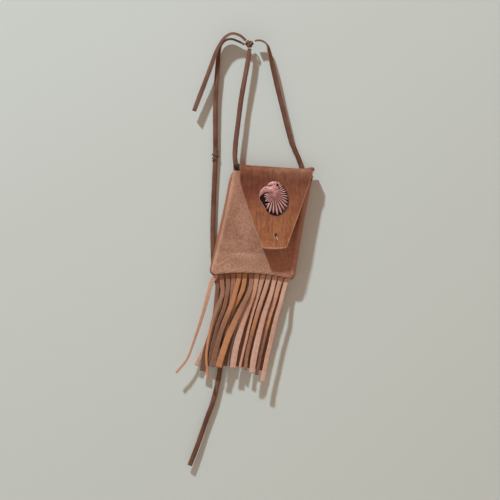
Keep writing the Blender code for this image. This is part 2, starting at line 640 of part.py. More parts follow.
def make_cord(name, route, radius, leather):
    """A round cord along a smooth curve through the route's points."""
    count = int(route_length(route) / (CORD_POINT_SPACING * 2 * radius)) + 2
    curve = bpy.data.curves.new(name, "CURVE")
    curve.dimensions = "3D"
    curve.bevel_depth = radius
    curve.bevel_resolution = 2
    curve.use_fill_caps = True
    spline = curve.splines.new("POLY")
    spline.points.add(count - 1)
    for point, place in zip(spline.points, smooth_route(route, count)):
        point.co = (*place, 1.0)
    curve.materials.append(leather)
    part_objects.objects.link(bpy.data.objects.new(name, curve))


def make_knot(leather):
    """The knot at the left shoulder of the crown, as its outer shape."""
    shape = bmesh.new()
    bmesh.ops.create_uvsphere(shape, u_segments=14, v_segments=9, radius=0.5)
    mesh = bpy.data.meshes.new("lace_knot")
    shape.to_mesh(mesh)
    shape.free()
    knot = add_piece("lace_knot", mesh, leather)
    knot.location = KNOT_PLACE
    knot.scale = KNOT_SIZE


def make_tie(leather):
    """A thin thong in one and a half turns round the long tail, its two ends standing off."""
    tail = smooth_route(LONG_TAIL_ROUTE, 600)
    middle = tail[np.argmin(np.abs(tail[:, 2] - TIE_PLACE))]
    reach = LACE_RADIUS + TIE_RADIUS + GAP
    share = np.linspace(-0.5, 0.5, 22)
    angle = share * TIE_TURNS * 2 * pi
    winding = [reach * np.cos(angle), -reach * np.sin(angle), TIE_RISE * share]
    turns = middle + np.stack(winding, axis=1)
    lower = turns[0] - TIE_END
    upper = turns[-1] + TIE_END
    make_cord("lace_tie", [lower, *turns, upper], TIE_RADIUS, leather)


def make_bag():
    clear_scene()
    tan_leather = finish("tan_leather", (0.42, 0.22, 0.13), 0.7)
    flap_leather = finish("flap_leather", (0.30, 0.13, 0.06), 0.65)
    fringe_leather = finish("fringe_leather", (0.50, 0.30, 0.20), 0.75)
    lace_leather = finish("lace_leather", (0.22, 0.11, 0.07), 0.7)
    copper = finish("cast_copper", (0.50, 0.27, 0.24), 0.42, 0.8)

    make_pouch_front(tan_leather)
    make_pouch_back(flap_leather)
    make_flap(flap_leather)
    make_eagle_button(copper)

    y_strip = (FRINGE_LEATHER + GAP) / 2
    others = BACK_PAIR * ((BACK_STRANDS - len(BACK_STRANDS_LEFT)) // 2)
    make_fringe("fringe_front", FRONT_STRANDS, FRINGE_LEFT, -y_strip, 1, fringe_leather)
    make_fringe("fringe_back", (*BACK_STRANDS_LEFT, *others), FRINGE_LEFT + FRINGE_PITCH / 2,
                y_strip, -1, fringe_leather)

    make_cord("neck_lace", LOOP_ROUTE, LACE_RADIUS, lace_leather)
    make_cord("lace_tail_short", SHORT_TAIL_ROUTE, LACE_RADIUS, lace_leather)
    make_cord("lace_tail_long", LONG_TAIL_ROUTE, LACE_RADIUS, lace_leather)
    make_knot(lace_leather)
    make_tie(lace_leather)
    for piece in part_objects.objects:
        if piece.type == "MESH":
            piece.data.shade_smooth()


make_bag()
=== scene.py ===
"""The looks of a small fringed leather medicine bag, as it hangs by its neck lace.

Metres, +Z up. The front of the bag faces -Y and +X is to the viewer's right. The origin is
under the crown of the neck lace, where it is held.
"""

from math import pi, radians, tan

import bpy
import numpy as np
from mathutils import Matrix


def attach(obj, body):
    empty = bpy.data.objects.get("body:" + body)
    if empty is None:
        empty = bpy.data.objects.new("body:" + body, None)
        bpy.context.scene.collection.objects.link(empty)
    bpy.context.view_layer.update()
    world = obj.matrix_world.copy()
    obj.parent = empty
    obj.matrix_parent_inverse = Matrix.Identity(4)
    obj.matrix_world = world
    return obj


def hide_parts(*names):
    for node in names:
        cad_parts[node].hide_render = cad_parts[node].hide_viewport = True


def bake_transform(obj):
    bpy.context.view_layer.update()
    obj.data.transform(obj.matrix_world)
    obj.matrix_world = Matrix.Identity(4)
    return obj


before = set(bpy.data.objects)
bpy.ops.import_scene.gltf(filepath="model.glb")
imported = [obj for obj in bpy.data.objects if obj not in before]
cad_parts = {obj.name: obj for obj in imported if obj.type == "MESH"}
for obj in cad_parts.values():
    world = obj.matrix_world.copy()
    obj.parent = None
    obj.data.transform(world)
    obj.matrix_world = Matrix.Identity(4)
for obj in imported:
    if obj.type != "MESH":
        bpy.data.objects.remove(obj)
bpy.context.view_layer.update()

# Stage: a pale wall close behind the bag, which shows only from in front, and a pale floor
# well below it. The lamp stands high at the left, so that the flap and the fringe throw
# their shadows down and to the right.
PICTURE_CENTRE = (-0.009, -0.208)  # x and z of the middle of the picture
PICTURE_WIDTH = 0.500
CAMERA_AWAY = 1.7
WALL_PLACE = 0.0094  # the wall's y, just behind the long tail
FLOOR_HEIGHT = -0.62
STAGE_REACH = 4.0
LAMP_DIRECTION = (-0.33, -0.47, 0.82)  # from the bag
LAMP_AWAY = 3.2
LAMP_SIZE = 0.18
LAMP_POWER = 135
LAMP_TINT = (0.712, 0.862, 0.95)
BACK_LAMP_PLACE = (0.15, 1.85, 0.10)  # a weak wide lamp lights the bag's back
BACK_LAMP_SIZE = 0.6
BACK_LAMP_POWER = 20
BACK_LAMP_TINT = (0.85, 0.93, 1.0)
FILL_LIGHT = (0.45, 0.232, 0.148, 1.0)  # what the room throws back on the bag


def colour(red, green, blue):
    """The linear values of a colour that is given from 0 to 255, as a screen shows it."""
    share = np.array([red, green, blue]) / 255
    linear = np.where(share > 0.04045, ((share + 0.055) / 1.055) ** 2.4, share / 12.92)
    return (*linear.tolist(), 1.0)


def add_node(tree, kind, inputs=(), **settings):
    """A shader node with its settings, its inputs set to values or linked to other outputs."""
    made = tree.nodes.new("ShaderNode" + kind)
    for key, value in settings.items():
        setattr(made, key, value)
    for key, value in dict(inputs).items():
        if isinstance(value, bpy.types.NodeSocket):
            tree.links.new(value, made.inputs[key])
        else:
            made.inputs[key].default_value = value
    return made


def calculate(tree, operation, first, second=0.0):
    """A Math node's result, kept between 0 and 1."""
    node = add_node(tree, "Math", {0: first, 1: second}, operation=operation, use_clamp=True)
    return node.outputs[0]


def stage_plane(name, corners):
    """A plane of the stage through four corners. Returns its material."""
    mesh = bpy.data.meshes.new(name)
    mesh.from_pydata(corners, [], [(0, 1, 2, 3)])
    plane = bpy.data.objects.new(name, mesh)
    bpy.context.scene.collection.objects.link(plane)
    material = bpy.data.materials.new(name)
    material.use_nodes = True
    mesh.materials.append(material)
    return material


floor_paint = stage_plane("floor", [
    (-STAGE_REACH, -STAGE_REACH, FLOOR_HEIGHT), (STAGE_REACH, -STAGE_REACH, FLOOR_HEIGHT),
    (STAGE_REACH, STAGE_REACH, FLOOR_HEIGHT), (-STAGE_REACH, STAGE_REACH, FLOOR_HEIGHT)])
floor_shader = floor_paint.node_tree.nodes["Principled BSDF"]
floor_shader.inputs["Base Color"].default_value = colour(196, 198, 190)
floor_shader.inputs["Roughness"].default_value = 0.9

wall_paint = stage_plane("wall", [
    (-STAGE_REACH, WALL_PLACE, FLOOR_HEIGHT), (STAGE_REACH, WALL_PLACE, FLOOR_HEIGHT),
    (STAGE_REACH, WALL_PLACE, STAGE_REACH), (-STAGE_REACH, WALL_PLACE, STAGE_REACH)])
tree = wall_paint.node_tree
wall_shader = tree.nodes["Principled BSDF"]
wall_shader.inputs["Base Color"].default_value = colour(191, 195, 188)
wall_shader.inputs["Roughness"].default_value = 0.9
rays = add_node(tree, "LightPath").outputs
seen = calculate(tree, "ADD", rays["Is Camera Ray"], rays["Is Glossy Ray"])
behind = add_node(tree, "NewGeometry").outputs["Backfacing"]
shown = calculate(tree, "SUBTRACT", seen, behind)
clear = add_node(tree, "BsdfTransparent").outputs[0]
mixed = add_node(tree, "MixShader", {0: shown, 1: clear, 2: wall_shader.outputs[0]})
tree.links.new(mixed.outputs[0], tree.nodes["Material Output"].inputs["Surface"])

world = bpy.data.worlds.new("studio")
bpy.context.scene.world = world
world.use_nodes = True
tree = world.node_tree
rays = add_node(tree, "LightPath").outputs
seen = calculate(tree, "ADD", rays["Is Camera Ray"], rays["Is Glossy Ray"])
pale = add_node(tree, "Background", {"Color": colour(205, 208, 200), "Strength": 1.0})
fill = add_node(tree, "Background", {"Color": FILL_LIGHT, "Strength": 1.0})
mixed = add_node(tree, "MixShader", {0: seen, 1: fill.outputs[0], 2: pale.outputs[0]})
tree.links.new(mixed.outputs[0], tree.nodes["World Output"].inputs["Surface"])


def add_lamp(name, place, target, size, power, tint):
    """A round area lamp at a place, turned towards its target."""
    light = bpy.data.lights.new(name, "AREA")
    light.shape = "DISK"
    light.size = size
    light.energy = power
    light.color = tint
    lamp = bpy.data.objects.new(name, light)
    lamp.location = place
    aim = np.array(target) - place
    lamp.rotation_euler = (np.arctan2(np.hypot(aim[0], aim[1]), -aim[2]), 0,
                           np.arctan2(aim[1], aim[0]) - pi / 2)
    bpy.context.scene.collection.objects.link(lamp)


bag_middle = np.array([PICTURE_CENTRE[0], 0, PICTURE_CENTRE[1]])
lamp_place = bag_middle + LAMP_AWAY * np.array(LAMP_DIRECTION)
add_lamp("key_lamp", lamp_place, bag_middle, LAMP_SIZE, LAMP_POWER, LAMP_TINT)
add_lamp("back_lamp", BACK_LAMP_PLACE, bag_middle, BACK_LAMP_SIZE, BACK_LAMP_POWER, BACK_LAMP_TINT)

lens = bpy.data.cameras.new("camera")
lens.lens = lens.sensor_width * CAMERA_AWAY / PICTURE_WIDTH
lens.clip_start = 0.05
camera = bpy.data.objects.new("camera", lens)
camera.location = (PICTURE_CENTRE[0], -CAMERA_AWAY, PICTURE_CENTRE[1])
camera.rotation_euler = (pi / 2, 0, 0)
bpy.context.scene.collection.objects.link(camera)
bpy.context.scene.camera = camera
bpy.context.scene.view_settings.view_transform = "Standard"

# Neck lace: one long flat leather lace. It runs under the fold, goes up on both sides to its
# crown, and is knotted at the left; its two ends hang down as a short and a long tail.
# It is cut from brown leather, with a smooth face and paler raw edges.
LACE_WIDTH = 0.0050
LACE_THICKNESS = 0.0017
LACE_ROWS_APART = 0.0011
# The lace is painted near black as shade where it goes into the hole at the fold's left end; these
# numbers bound that painted shade.
HOLE_TOP = (-0.1222, -0.1232)  # heights between which the lace goes in to the dark
HOLE_LEFT = -0.0263  # x of the lace's outer edge there; the tails hang further left
HOLE_SLANT = 1.5  # the dark hole at the fold's left end has a slanting upper side
HOLE_SIDE = (-0.1552, -0.1567)  # heights of that side where x is 0
HOLE_ENDS = (-0.0150, -0.0180)  # x between which the hidden lace is its own colour again
LOOP_ROUTE = (
    (-0.0094, 0.0, -0.0066), (-0.0110, -0.0002, -0.0190), (-0.0145, -0.0005, -0.0380),
    (-0.0180, -0.0008, -0.0580), (-0.0205, -0.0009, -0.0780), (-0.0230, -0.0010, -0.0980),
    (-0.0240, -0.0013, -0.1110), (-0.0238, -0.0017, -0.1180), (-0.0224, -0.0015, -0.1250),
    (-0.0182, -0.0005, -0.1290), (-0.0110, -0.0004, -0.1288), (0.0000, -0.0004, -0.1288),
    (0.0140, -0.0004, -0.1293), (0.0270, -0.0004, -0.1300), (0.0340, -0.0002, -0.1308),
    (0.0386, 0.0014, -0.1324), (0.0412, 0.0044, -0.1322), (0.0428, 0.0066, -0.1292),
    (0.0424, 0.0070, -0.1240),
    (0.0396, 0.0065, -0.1160), (0.0358, 0.0058, -0.1070), (0.0320, 0.0050, -0.0980),
    (0.0245, 0.0034, -0.0690), (0.0187, 0.0020, -0.0460), (0.0138, 0.0008, -0.0250),
    (0.0103, 0.0, -0.0100), (0.0084, 0.0, -0.0032), (0.0044, 0.0, 0.0006),
    (0.0, 0.0, 0.0017), (-0.0040, 0.0, 0.0012),
)
SHORT_TAIL_ROUTE = (
    (-0.0131, -0.0013, 0.0013), (-0.0190, -0.0020, 0.0062), (-0.0270, -0.0022, 0.0082),
    (-0.0350, -0.0018, 0.0035), (-0.0420, -0.0012, -0.0080), (-0.0475, -0.0006, -0.0230),
    (-0.0535, 0.0, -0.0390), (-0.0595, 0.0006, -0.0545), (-0.0650, 0.0010, -0.0690),
)
LONG_TAIL_ROUTE = (
    (-0.0146, 0.0018, -0.0024), (-0.0200, 0.0026, 0.0006), (-0.0280, 0.0034, 0.0034),
    (-0.0352, 0.0038, 0.0010), (-0.0398, 0.0040, -0.0080), (-0.0420, 0.0044, -0.0330),
    (-0.0435, 0.0048, -0.0580), (-0.0437, 0.0052, -0.0850), (-0.0437, 0.0056, -0.1130),
    (-0.0446, 0.0060, -0.1360), (-0.0455, 0.0064, -0.1580), (-0.0464, 0.0067, -0.1880),
    (-0.0460, 0.0070, -0.2100), (-0.0452, 0.0073, -0.2240), (-0.0420, 0.0074, -0.2400),
    (-0.0386, 0.0070, -0.2600), (-0.0368, 0.0066, -0.2820), (-0.0370, 0.0062, -0.3080),
    (-0.0400, 0.0058, -0.3340), (-0.0455, 0.0054, -0.3580), (-0.0520, 0.0050, -0.3760),
    (-0.0575, 0.0048, -0.3920), (-0.0632, 0.0046, -0.4080), (-0.0695, 0.0044, -0.4240),
)
# Shares of each length, and how far the lace's flat has turned there from facing the front.
LOOP_TURN = ((0.0, 0.9), (0.05, 0.35), (0.15, -0.15), (0.28, 0.2), (0.36, 0.1), (0.41, 0.8),
             (0.51, 0.8), (0.56, 0.0), (0.62, 0.25), (0.75, -0.1), (0.88, 0.15), (0.94, 0.9),
             (0.97, 1.57), (1.0, 1.57))
SHORT_TAIL_TURN = ((0.0, 1.2), (0.3, 1.1), (0.5, 0.7), (0.8, 0.5), (1.0, 0.75))
LONG_TAIL_TURN = ((0.0, 1.3), (0.06, 1.2), (0.1, 0.45), (0.2, 0.1), (0.35, -0.12), (0.5, 0.15),
                  (0.62, 0.5), (0.8, 0.2), (0.92, -0.25), (1.0, 0.1))


def surface(name, grids, around=False, flip=False, **layers):
    """A mesh object of equal grids of points, given as [grid, row, column, xyz].

    Each cell of a grid is a face. With around, the last column joins the first, the end rows
    are closed, and the faces turn outwards, where the solid's signed volume is positive.
    Layers hold a value for each point, and stay with the mesh for its material.
    """
    grids = np.asarray(grids, float)
    count, rows, columns = grids.shape[:3]
    corner = np.arange(count * rows * columns).reshape(count, rows, columns)
    if around:
        corner = np.concatenate([corner, corner[:, :, :1]], axis=2)
    faces = np.stack([corner[:, :-1, :-1], corner[:, :-1, 1:], corner[:, 1:, 1:],
                      corner[:, 1:, :-1]], axis=-1).reshape(-1, 4)
    points = grids.reshape(-1, 3)
    caps = []
    if around:
        a, b, c, d = (points[faces[:, k]] for k in range(4))
        volume = ((a + b + c + d) * np.cross(c - a, d - b)).sum()
        caps = [*corner[:, 0, -1:0:-1].tolist(), *corner[:, -1, :-1].tolist()]
        flip = volume < 0
    polygons = [*faces.tolist(), *caps]
    if flip:
        polygons = [polygon[::-1] for polygon in polygons]
    mesh = bpy.data.meshes.new(name)
    mesh.from_pydata(points.tolist(), [], polygons)
    for layer, values in layers.items():
        values = np.broadcast_to(values, (count, rows, columns)).astype(np.float32)
        mesh.attributes.new(layer, "FLOAT", "POINT").data.foreach_set("value", values.ravel())
    mesh.shade_smooth()
    piece = bpy.data.objects.new(name, mesh)
    bpy.context.scene.collection.objects.link(piece)
    return piece


def smooth_route(points, count):
    """Evenly spread points on a Catmull-Rom curve through the given ones."""
    route = np.array(points, float)
    padded = np.vstack([2 * route[0] - route[1], route, 2 * route[-1] - route[-2]])
    dense = []
    for before, start, end, after in zip(padded, padded[1:], padded[2:], padded[3:]):
        u = np.linspace(0, 1, 24, endpoint=False)[:, None]
        dense.append(
            0.5 * (2 * start + (end - before) * u
                   + (2 * before - 5 * start + 4 * end - after) * u**2
                   + (3 * start - before - 3 * end + after) * u**3)
        )
    dense = np.vstack([*dense, route[-1:]])
    along = np.concatenate([[0], np.cumsum(np.linalg.norm(np.diff(dense, axis=0), axis=1))])
    at = np.linspace(0, along[-1], count)
    return np.stack([np.interp(at, along, dense[:, k]) for k in range(dense.shape[1])], axis=1)


def route_length(points):
    """Length in metres of the smooth route through the points."""
    return float(np.linalg.norm(np.diff(smooth_route(points, 400), axis=0), axis=1).sum())


def unit(vectors):
    """The same directions with a length of 1."""
    return vectors / np.linalg.norm(vectors, axis=-1, keepdims=True)


def smooth_step(value, low, high):
    """0 at low, 1 at high, and 3 s^2 - 2 s^3 of the share s of the way between them."""
    share = np.clip((value - low) / (high - low), 0, 1)
    return share * share * (3 - 2 * share)


def carried_strip(line, across, width, thickness, columns=20, roundness=0.42):
    """Points of a flat strip with rounded edges, carried along a line, and their place across.

    The section is a superellipse: the cosine and sine of the angle round it, raised to a
    power under one. Its long axis is the given direction, made square to the line.
    """
    tangent = unit(np.gradient(line, axis=0))
    across = unit(across - (across * tangent).sum(axis=1, keepdims=True) * tangent)
    normal = np.cross(tangent, across)
    angle = 2 * pi * np.arange(columns) / columns
    wide = np.sign(np.cos(angle)) * np.abs(np.cos(angle)) ** roundness
    high = np.sign(np.sin(angle)) * np.abs(np.sin(angle)) ** roundness
    half_width = np.broadcast_to(width, len(line))[:, None, None] / 2
    half_thick = np.broadcast_to(thickness, len(line))[:, None, None] / 2
    points = (line[:, None] + across[:, None] * wide[None, :, None] * half_width
              + normal[:, None] * high[None, :, None] * half_thick)
    return points, np.broadcast_to(wide, points.shape[:2])


def turned_across(line, turns):
    """The strip's width direction: level with the front, turned round the line by an angle."""
    tangent = unit(np.gradient(line, axis=0))
    level = unit(np.cross((0.0, 1.0, 0.0), tangent))
    share, angle = np.array(turns).T
    angle = np.interp(np.linspace(0, 1, len(line)), share, angle)[:, None]
    return level * np.cos(angle) + np.cross(tangent, level) * np.sin(angle)


def new_material(name, roughness):
    """A material, its node tree and its Principled shader. Nothing on the bag is polished."""
    material = bpy.data.materials.new(name)
    material.use_nodes = True
    shader = material.node_tree.nodes["Principled BSDF"]
    shader.inputs["Roughness"].default_value = roughness
    shader.inputs["Specular IOR Level"].default_value = 0.3
    return material, material.node_tree, shader


def mixed_colour(tree, share, first, second, blend="MIX"):
    """The first colour with a share of the second, mixed in or blended another way."""
    return add_node(tree, "Mix", {0: share, 6: first, 7: second}, data_type="RGBA",
                    blend_type=blend).outputs[2]


def between(tree, value, low, high):
    """0 below low, 1 above high, and a smooth rise between them."""
    return add_node(tree, "MapRange", {0: value, 1: low, 2: high},
                    interpolation_type="SMOOTHSTEP").outputs[0]


def colour_ramp(tree, value, stops):
    """The colour of a value from 0 to 1, between stops of a position and a colour."""
    ramp = add_node(tree, "ValToRGB", {"Fac": value})
    for _ in stops[2:]:
        ramp.color_ramp.elements.new(0.5)
    for element, (position, value_there) in zip(ramp.color_ramp.elements, stops):
        element.position = position
        element.color = value_there
    return ramp.outputs["Color"]


def layer(tree, name):
    """A value that the mesh holds at each of its points."""
    return add_node(tree, "Attribute", attribute_name=name).outputs["Fac"]


def object_place(tree, stretch=(1.0, 1.0, 1.0)):
    """Object coordinates, each multiplied by its stretch."""
    place = add_node(tree, "TexCoord").outputs["Object"]
    return add_node(tree, "Mapping", {"Vector": place, "Scale": stretch}).outputs[0]


def raised(tree, shader, height, depth, strength=1.0):
    """The height moves the shader's normal, as if it stood out by the depth."""
    bump = add_node(tree, "Bump", {"Height": height, "Distance": depth, "Strength": strength})
    tree.links.new(bump.outputs[0], shader.inputs["Normal"])


def new_group(name, inputs, outputs):
    """A node group with a place vector and named numbers, and the sockets inside it."""
    group = bpy.data.node_groups.new(name, "ShaderNodeTree")
    group.interface.new_socket("Place", in_out="INPUT", socket_type="NodeSocketVector")
    for socket, value in inputs.items():
        made = group.interface.new_socket(socket, in_out="INPUT", socket_type="NodeSocketFloat")
        made.default_value = value
    for socket in outputs:
        group.interface.new_socket(socket, in_out="OUTPUT", socket_type="NodeSocketFloat")
    given = group.nodes.new("NodeGroupInput").outputs
    return group, given, group.nodes.new("NodeGroupOutput").inputs


# Grain of the leather, which all its pieces share at their own scales: pebbles with creases
# between them, fine pores and cloudy patches.
grain_group, given, result = new_group("leather_grain", {"Pebbles": 1000.0},
                                       ("Height", "Crease", "Cloud", "Pore"))
warp = add_node(grain_group, "TexNoise", {"Vector": given["Place"], "Scale": 300.0, "Detail": 2.0})
moved = add_node(grain_group, "VectorMath",
                 {0: warp.outputs["Color"], 1: (0.0012, 0.0012, 0.0012), 2: given["Place"]},
                 operation="MULTIPLY_ADD")
cells = add_node(grain_group, "TexVoronoi", {"Vector": moved.outputs[0], "Scale": given["Pebbles"]},
                 feature="DISTANCE_TO_EDGE")
pebble = between(grain_group, cells.outputs["Distance"], 0.0, 0.22)
pores = add_node(grain_group, "TexNoise",
                 {"Vector": given["Place"], "Scale": 3200.0, "Detail": 3.0, "Roughness": 0.6})
pore = between(grain_group, pores.outputs["Fac"], 0.36, 0.64)
patches = add_node(grain_group, "TexNoise",
                   {"Vector": given["Place"], "Scale": 46.0, "Detail": 5.0, "Roughness": 0.62})
pebble_part = calculate(grain_group, "MULTIPLY", pebble, 0.7)
pore_part = calculate(grain_group, "MULTIPLY", pore, 0.3)
grain_group.links.new(calculate(grain_group, "ADD", pebble_part, pore_part), result["Height"])
grain_group.links.new(calculate(grain_group, "SUBTRACT", 1.0, pebble), result["Crease"])
grain_group.links.new(between(grain_group, patches.outputs["Fac"], 0.34, 0.66), result["Cloud"])
grain_group.links.new(pore, result["Pore"])


def grain(tree, place, pebbles):
    """The outputs of the leather's grain in a material, with so many pebbles to a metre."""
    made = add_node(tree, "Group", node_tree=grain_group)
    tree.links.new(place, made.inputs["Place"])
    made.inputs["Pebbles"].default_value = pebbles
    return made.outputs


def lace_leather():
    """Brown lace: long streaks along it, worn paler patches, and pale raw edges.

    One half of its width is painted darker as the shade on its turned side, and it is painted
    near black as shade in the hole at the fold's left end.
    """
    material, tree, shader = new_material("lace_leather", 0.66)
    run = add_node(tree, "CombineXYZ", {0: layer(tree, "along"), 1: layer(tree, "across")})
    streaked = add_node(tree, "Mapping", {"Vector": run.outputs[0], "Scale": (60.0, 5.0, 1.0)})
    streaks = add_node(tree, "TexNoise", {"Vector": streaked.outputs[0], "Scale": 1.0, "Detail": 4.0})
    parts = grain(tree, object_place(tree), 1500.0)
    tone = between(tree, streaks.outputs["Fac"], 0.35, 0.68)
    body = mixed_colour(tree, tone, colour(79, 46, 33), colour(112, 69, 51))
    body = mixed_colour(tree, calculate(tree, "MULTIPLY", parts["Cloud"], 0.45), body,
                        colour(134, 94, 74))
    # Painted shade: one side of the lace's width is darker, as its turned edge in shade.
    greased = between(tree, layer(tree, "across"), -0.15, -0.65)
    body = mixed_colour(tree, calculate(tree, "MULTIPLY", greased, 0.75), body, colour(80, 48, 34))
    edge = between(tree, layer(tree, "edge"), 0.80, 0.97)
    body = mixed_colour(tree, calculate(tree, "MULTIPLY", edge, 0.45), body, colour(170, 128, 104))
    # Painted shade: near black in the hole at the fold's left end.
    body = mixed_colour(tree, layer(tree, "inside"), body, colour(40, 24, 16))
    tree.links.new(body, shader.inputs["Base Color"])
    height = calculate(tree, "ADD", calculate(tree, "MULTIPLY", parts["Height"], 0.5),
                       calculate(tree, "MULTIPLY", streaks.outputs["Fac"], 0.5))
    raised(tree, shader, height, 0.00016)
    return material


def wavering(along, pitch, phase):
    """A slow, uneven wave from -1 to 1: the mean of three sines of unlike lengths."""
    turn = 2 * pi * along / pitch
    return sum(np.sin(turn / share + number * phase)
               for number, share in ((1, 1.0), (2, 0.43), (3, 0.19))) / 3


def add_lace(node, route, turns, leather):
    """A length of lace along its route, a little uneven in width as hand-cut lace is.

    Returns the piece, the points of its line and its length.
    """
    length = route_length(route)
    line = smooth_route(route, int(length / LACE_ROWS_APART))
    along = np.linspace(0, length, len(line))
    width = LACE_WIDTH * (1 + 0.05 * wavering(along, 0.047, 1.0))
    thickness = LACE_THICKNESS * (1 + 0.06 * wavering(along, 0.031, 2.0))
    points, across = carried_strip(line, turned_across(line, turns), width, thickness)
    x, z = points[..., 0], points[..., 2]
    # inside marks the painted shade of the hole at the fold's left end.
    inside = smooth_step(z, *HOLE_TOP) * smooth_step(z + HOLE_SLANT * x, *HOLE_SIDE)
    inside = inside * (x > HOLE_LEFT) * smooth_step(x, *HOLE_ENDS)
    piece = surface(node + "_strip", points[None], around=True, along=along[None, :, None],
                    across=across[None], edge=np.abs(across)[None], inside=inside[None])
    piece.data.materials.append(leather)
    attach(piece, "pouch")
    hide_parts(node)
    return piece, line, length


lace = lace_leather()
neck_lace, loop_line, loop_length = add_lace("neck_lace", LOOP_ROUTE, LOOP_TURN, lace)
short_tail, short_line, short_length = add_lace("lace_tail_short", SHORT_TAIL_ROUTE,
                                                SHORT_TAIL_TURN, lace)
long_tail, long_line, long_length = add_lace("lace_tail_long", LONG_TAIL_ROUTE,
                                             LONG_TAIL_TURN, lace)

# Knot: the lace's own overhand knot, of the same brown leather. It is pulled tight at the
# left shoulder of the crown, and both tails leave it there.
KNOT_PLACE = (-0.0096, 0.0, -0.0020)
KNOT_SIZE = (0.0088, 0.0066, 0.0086)
KNOT_STRIP = (0.0034, 0.0014)


def overhand_loops(place, size, rows=220):
    """The trefoil's line, sin t + 2 sin 2t and cos t - 2 cos 2t, with sin 3t for its depth.

    It is scaled so that the strip round it keeps inside the knot's size.
    """
    t = np.linspace(0, 2 * pi, rows)
    shape = np.stack([np.sin(t) + 2 * np.sin(2 * t), -np.sin(3 * t) * 1.4,
                      np.cos(t) - 2 * np.cos(2 * t)], axis=1)
    reach = np.abs(shape).max(axis=0)
    return np.array(place) + shape / reach * (np.array(size) - KNOT_STRIP[1]) * 0.42


knot_line = overhand_loops(KNOT_PLACE, KNOT_SIZE)
out_from_middle = unit(knot_line - KNOT_PLACE)
knot_tangent = unit(np.gradient(knot_line, axis=0))
knot_points, knot_across = carried_strip(knot_line, np.cross(out_from_middle, knot_tangent),
                                         *KNOT_STRIP, columns=16)
knot = surface("overhand_knot", knot_points[None], around=True, across=knot_across[None],
               along=np.linspace(0, 0.04, len(knot_line))[None, :, None],
               edge=np.abs(knot_across)[None], inside=0.0)
knot.data.materials.append(lace)
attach(knot, "pouch")
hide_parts("lace_knot")

# Tie: a thin thong of dark brown leather, wound one and a half times round the long tail.
# It is not knotted, and its stiff ends stand off.
TIE_PLACE = -0.1135
TIE_THICKNESS = 0.0010
TIE_TURNS = 1.5
TIE_RISE = 0.0060
TIE_END = (0.0032, 0.0, 0.0018)
TIE_SECTION = (TIE_THICKNESS * 1.3, TIE_THICKNESS * 0.8)
TIE_LEAN = 0.5

tie_middle = long_line[np.argmin(np.abs(long_line[:, 2] - TIE_PLACE))]
tie_share = np.linspace(-0.5, 0.5, 40)
tie_angle = tie_share * TIE_TURNS * 2 * pi
tie_turns = tie_middle + np.stack([
    (LACE_WIDTH / 2 + TIE_THICKNESS / 2) * np.cos(tie_angle),
    -(LACE_THICKNESS / 2 + TIE_THICKNESS / 2) * np.sin(tie_angle), TIE_RISE * tie_share], axis=1)
tie_route = [tie_turns[0] - TIE_END, *tie_turns, tie_turns[-1] + TIE_END]
tie_line = smooth_route(tie_route, 160)
tie_points, _ = carried_strip(tie_line, turned_across(tie_line, ((0, TIE_LEAN), (1, TIE_LEAN))),
                              *TIE_SECTION, columns=10, roundness=0.8)
tie = surface("tail_tie", tie_points[None], around=True)
tie_leather, tree, shader = new_material("tie_leather", 0.7)
tie_grain = grain(tree, object_place(tree), 2200.0)
tree.links.new(mixed_colour(tree, tie_grain["Pore"], colour(62, 44, 30), colour(98, 76, 50)),
               shader.inputs["Base Color"])
raised(tree, shader, tie_grain["Height"], 0.00012)
tie.data.materials.append(tie_leather)
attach(tie, "pouch")
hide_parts("lace_tie")

# Front panel: tan grain leather, sewn to the back inside out and turned, so that its sides
# and its bottom roll in to the seams. Its top edge, the mouth, is cut and hides under the flap.
LEATHER = 0.0015
FRINGE_LEATHER = 0.0012
GAP = 0.0003
FOLD_LEFT = -0.0248
FOLD_HEIGHT = -0.1226
FOLD_SLOPE = radians(3.0)
TOP_WIDTH = 0.0788
BOTTOM_WIDTH = 0.0837
POUCH_HEIGHT = 0.1108
LEAN = 0.0247
WAIST_LEFT = 0.0017
WAIST_RIGHT = 0.0010
BOTTOM_ARCH = 0.0045
CORNER_LEFT = 0.0075
CORNER_RIGHT = 0.0055
FRONT_MOUTH_DEPTH = 0.0039
FRONT_BELLY = 0.0036
FRONT_BOTTOM_FULLNESS = 0.0018
FRONT_FULL_AT = 0.55
FRONT_BOTTOM_AT = 0.6
FRONT_SIDE_FULLNESS = 0.8
ROLL = 0.0040
TURN_RADIUS = 0.0018
SEAM_ALLOWANCE = 0.0032
SEAM_OPENS_AT = (0.84, 0.92)
MOUTH_DOWN = 0.0062 / POUCH_HEIGHT
SIDE_HALF_GAP = GAP / 2
BOTTOM_HALF_GAP = FRINGE_LEATHER + 1.5 * GAP
STITCH_PITCH = 0.0034
FULL_ROLL = 0.62
# Right of this line the front is darker: partly leather kept from fading, partly the flap's painted
# shadow.
FADE_LINE = ((-0.0175, -0.135), (0.0115, -0.230))  # x and z of its top and of its bottom
FADE_SOFT = (-0.0005, 0.0015)
SOFT_SHAPES = (  # height, middle, half length and half width, and lean in degrees
    (-0.0007, (-0.019, -0.2105), (0.020, 0.0021), -2),  # slack crease near the bottom
    (0.0007, (-0.014, -0.2165), (0.026, 0.0040), -2),  # swell under it
    (0.0005, (-0.038, -0.2215), (0.0060, 0.0010), 28),  # wrinkles above the left corner
    (0.0004, (-0.033, -0.2245), (0.0060, 0.0009), 16),
    (-0.0004, (-0.036, -0.2190), (0.0065, 0.0009), 34),
)
PUCKER_REACH = 0.0026
PUCKER = 0.00022


def crown_height(x):
    """z of the fold's crown: a straight line that slopes down to the right."""
    return FOLD_HEIGHT - (x - FOLD_LEFT) * tan(FOLD_SLOPE)


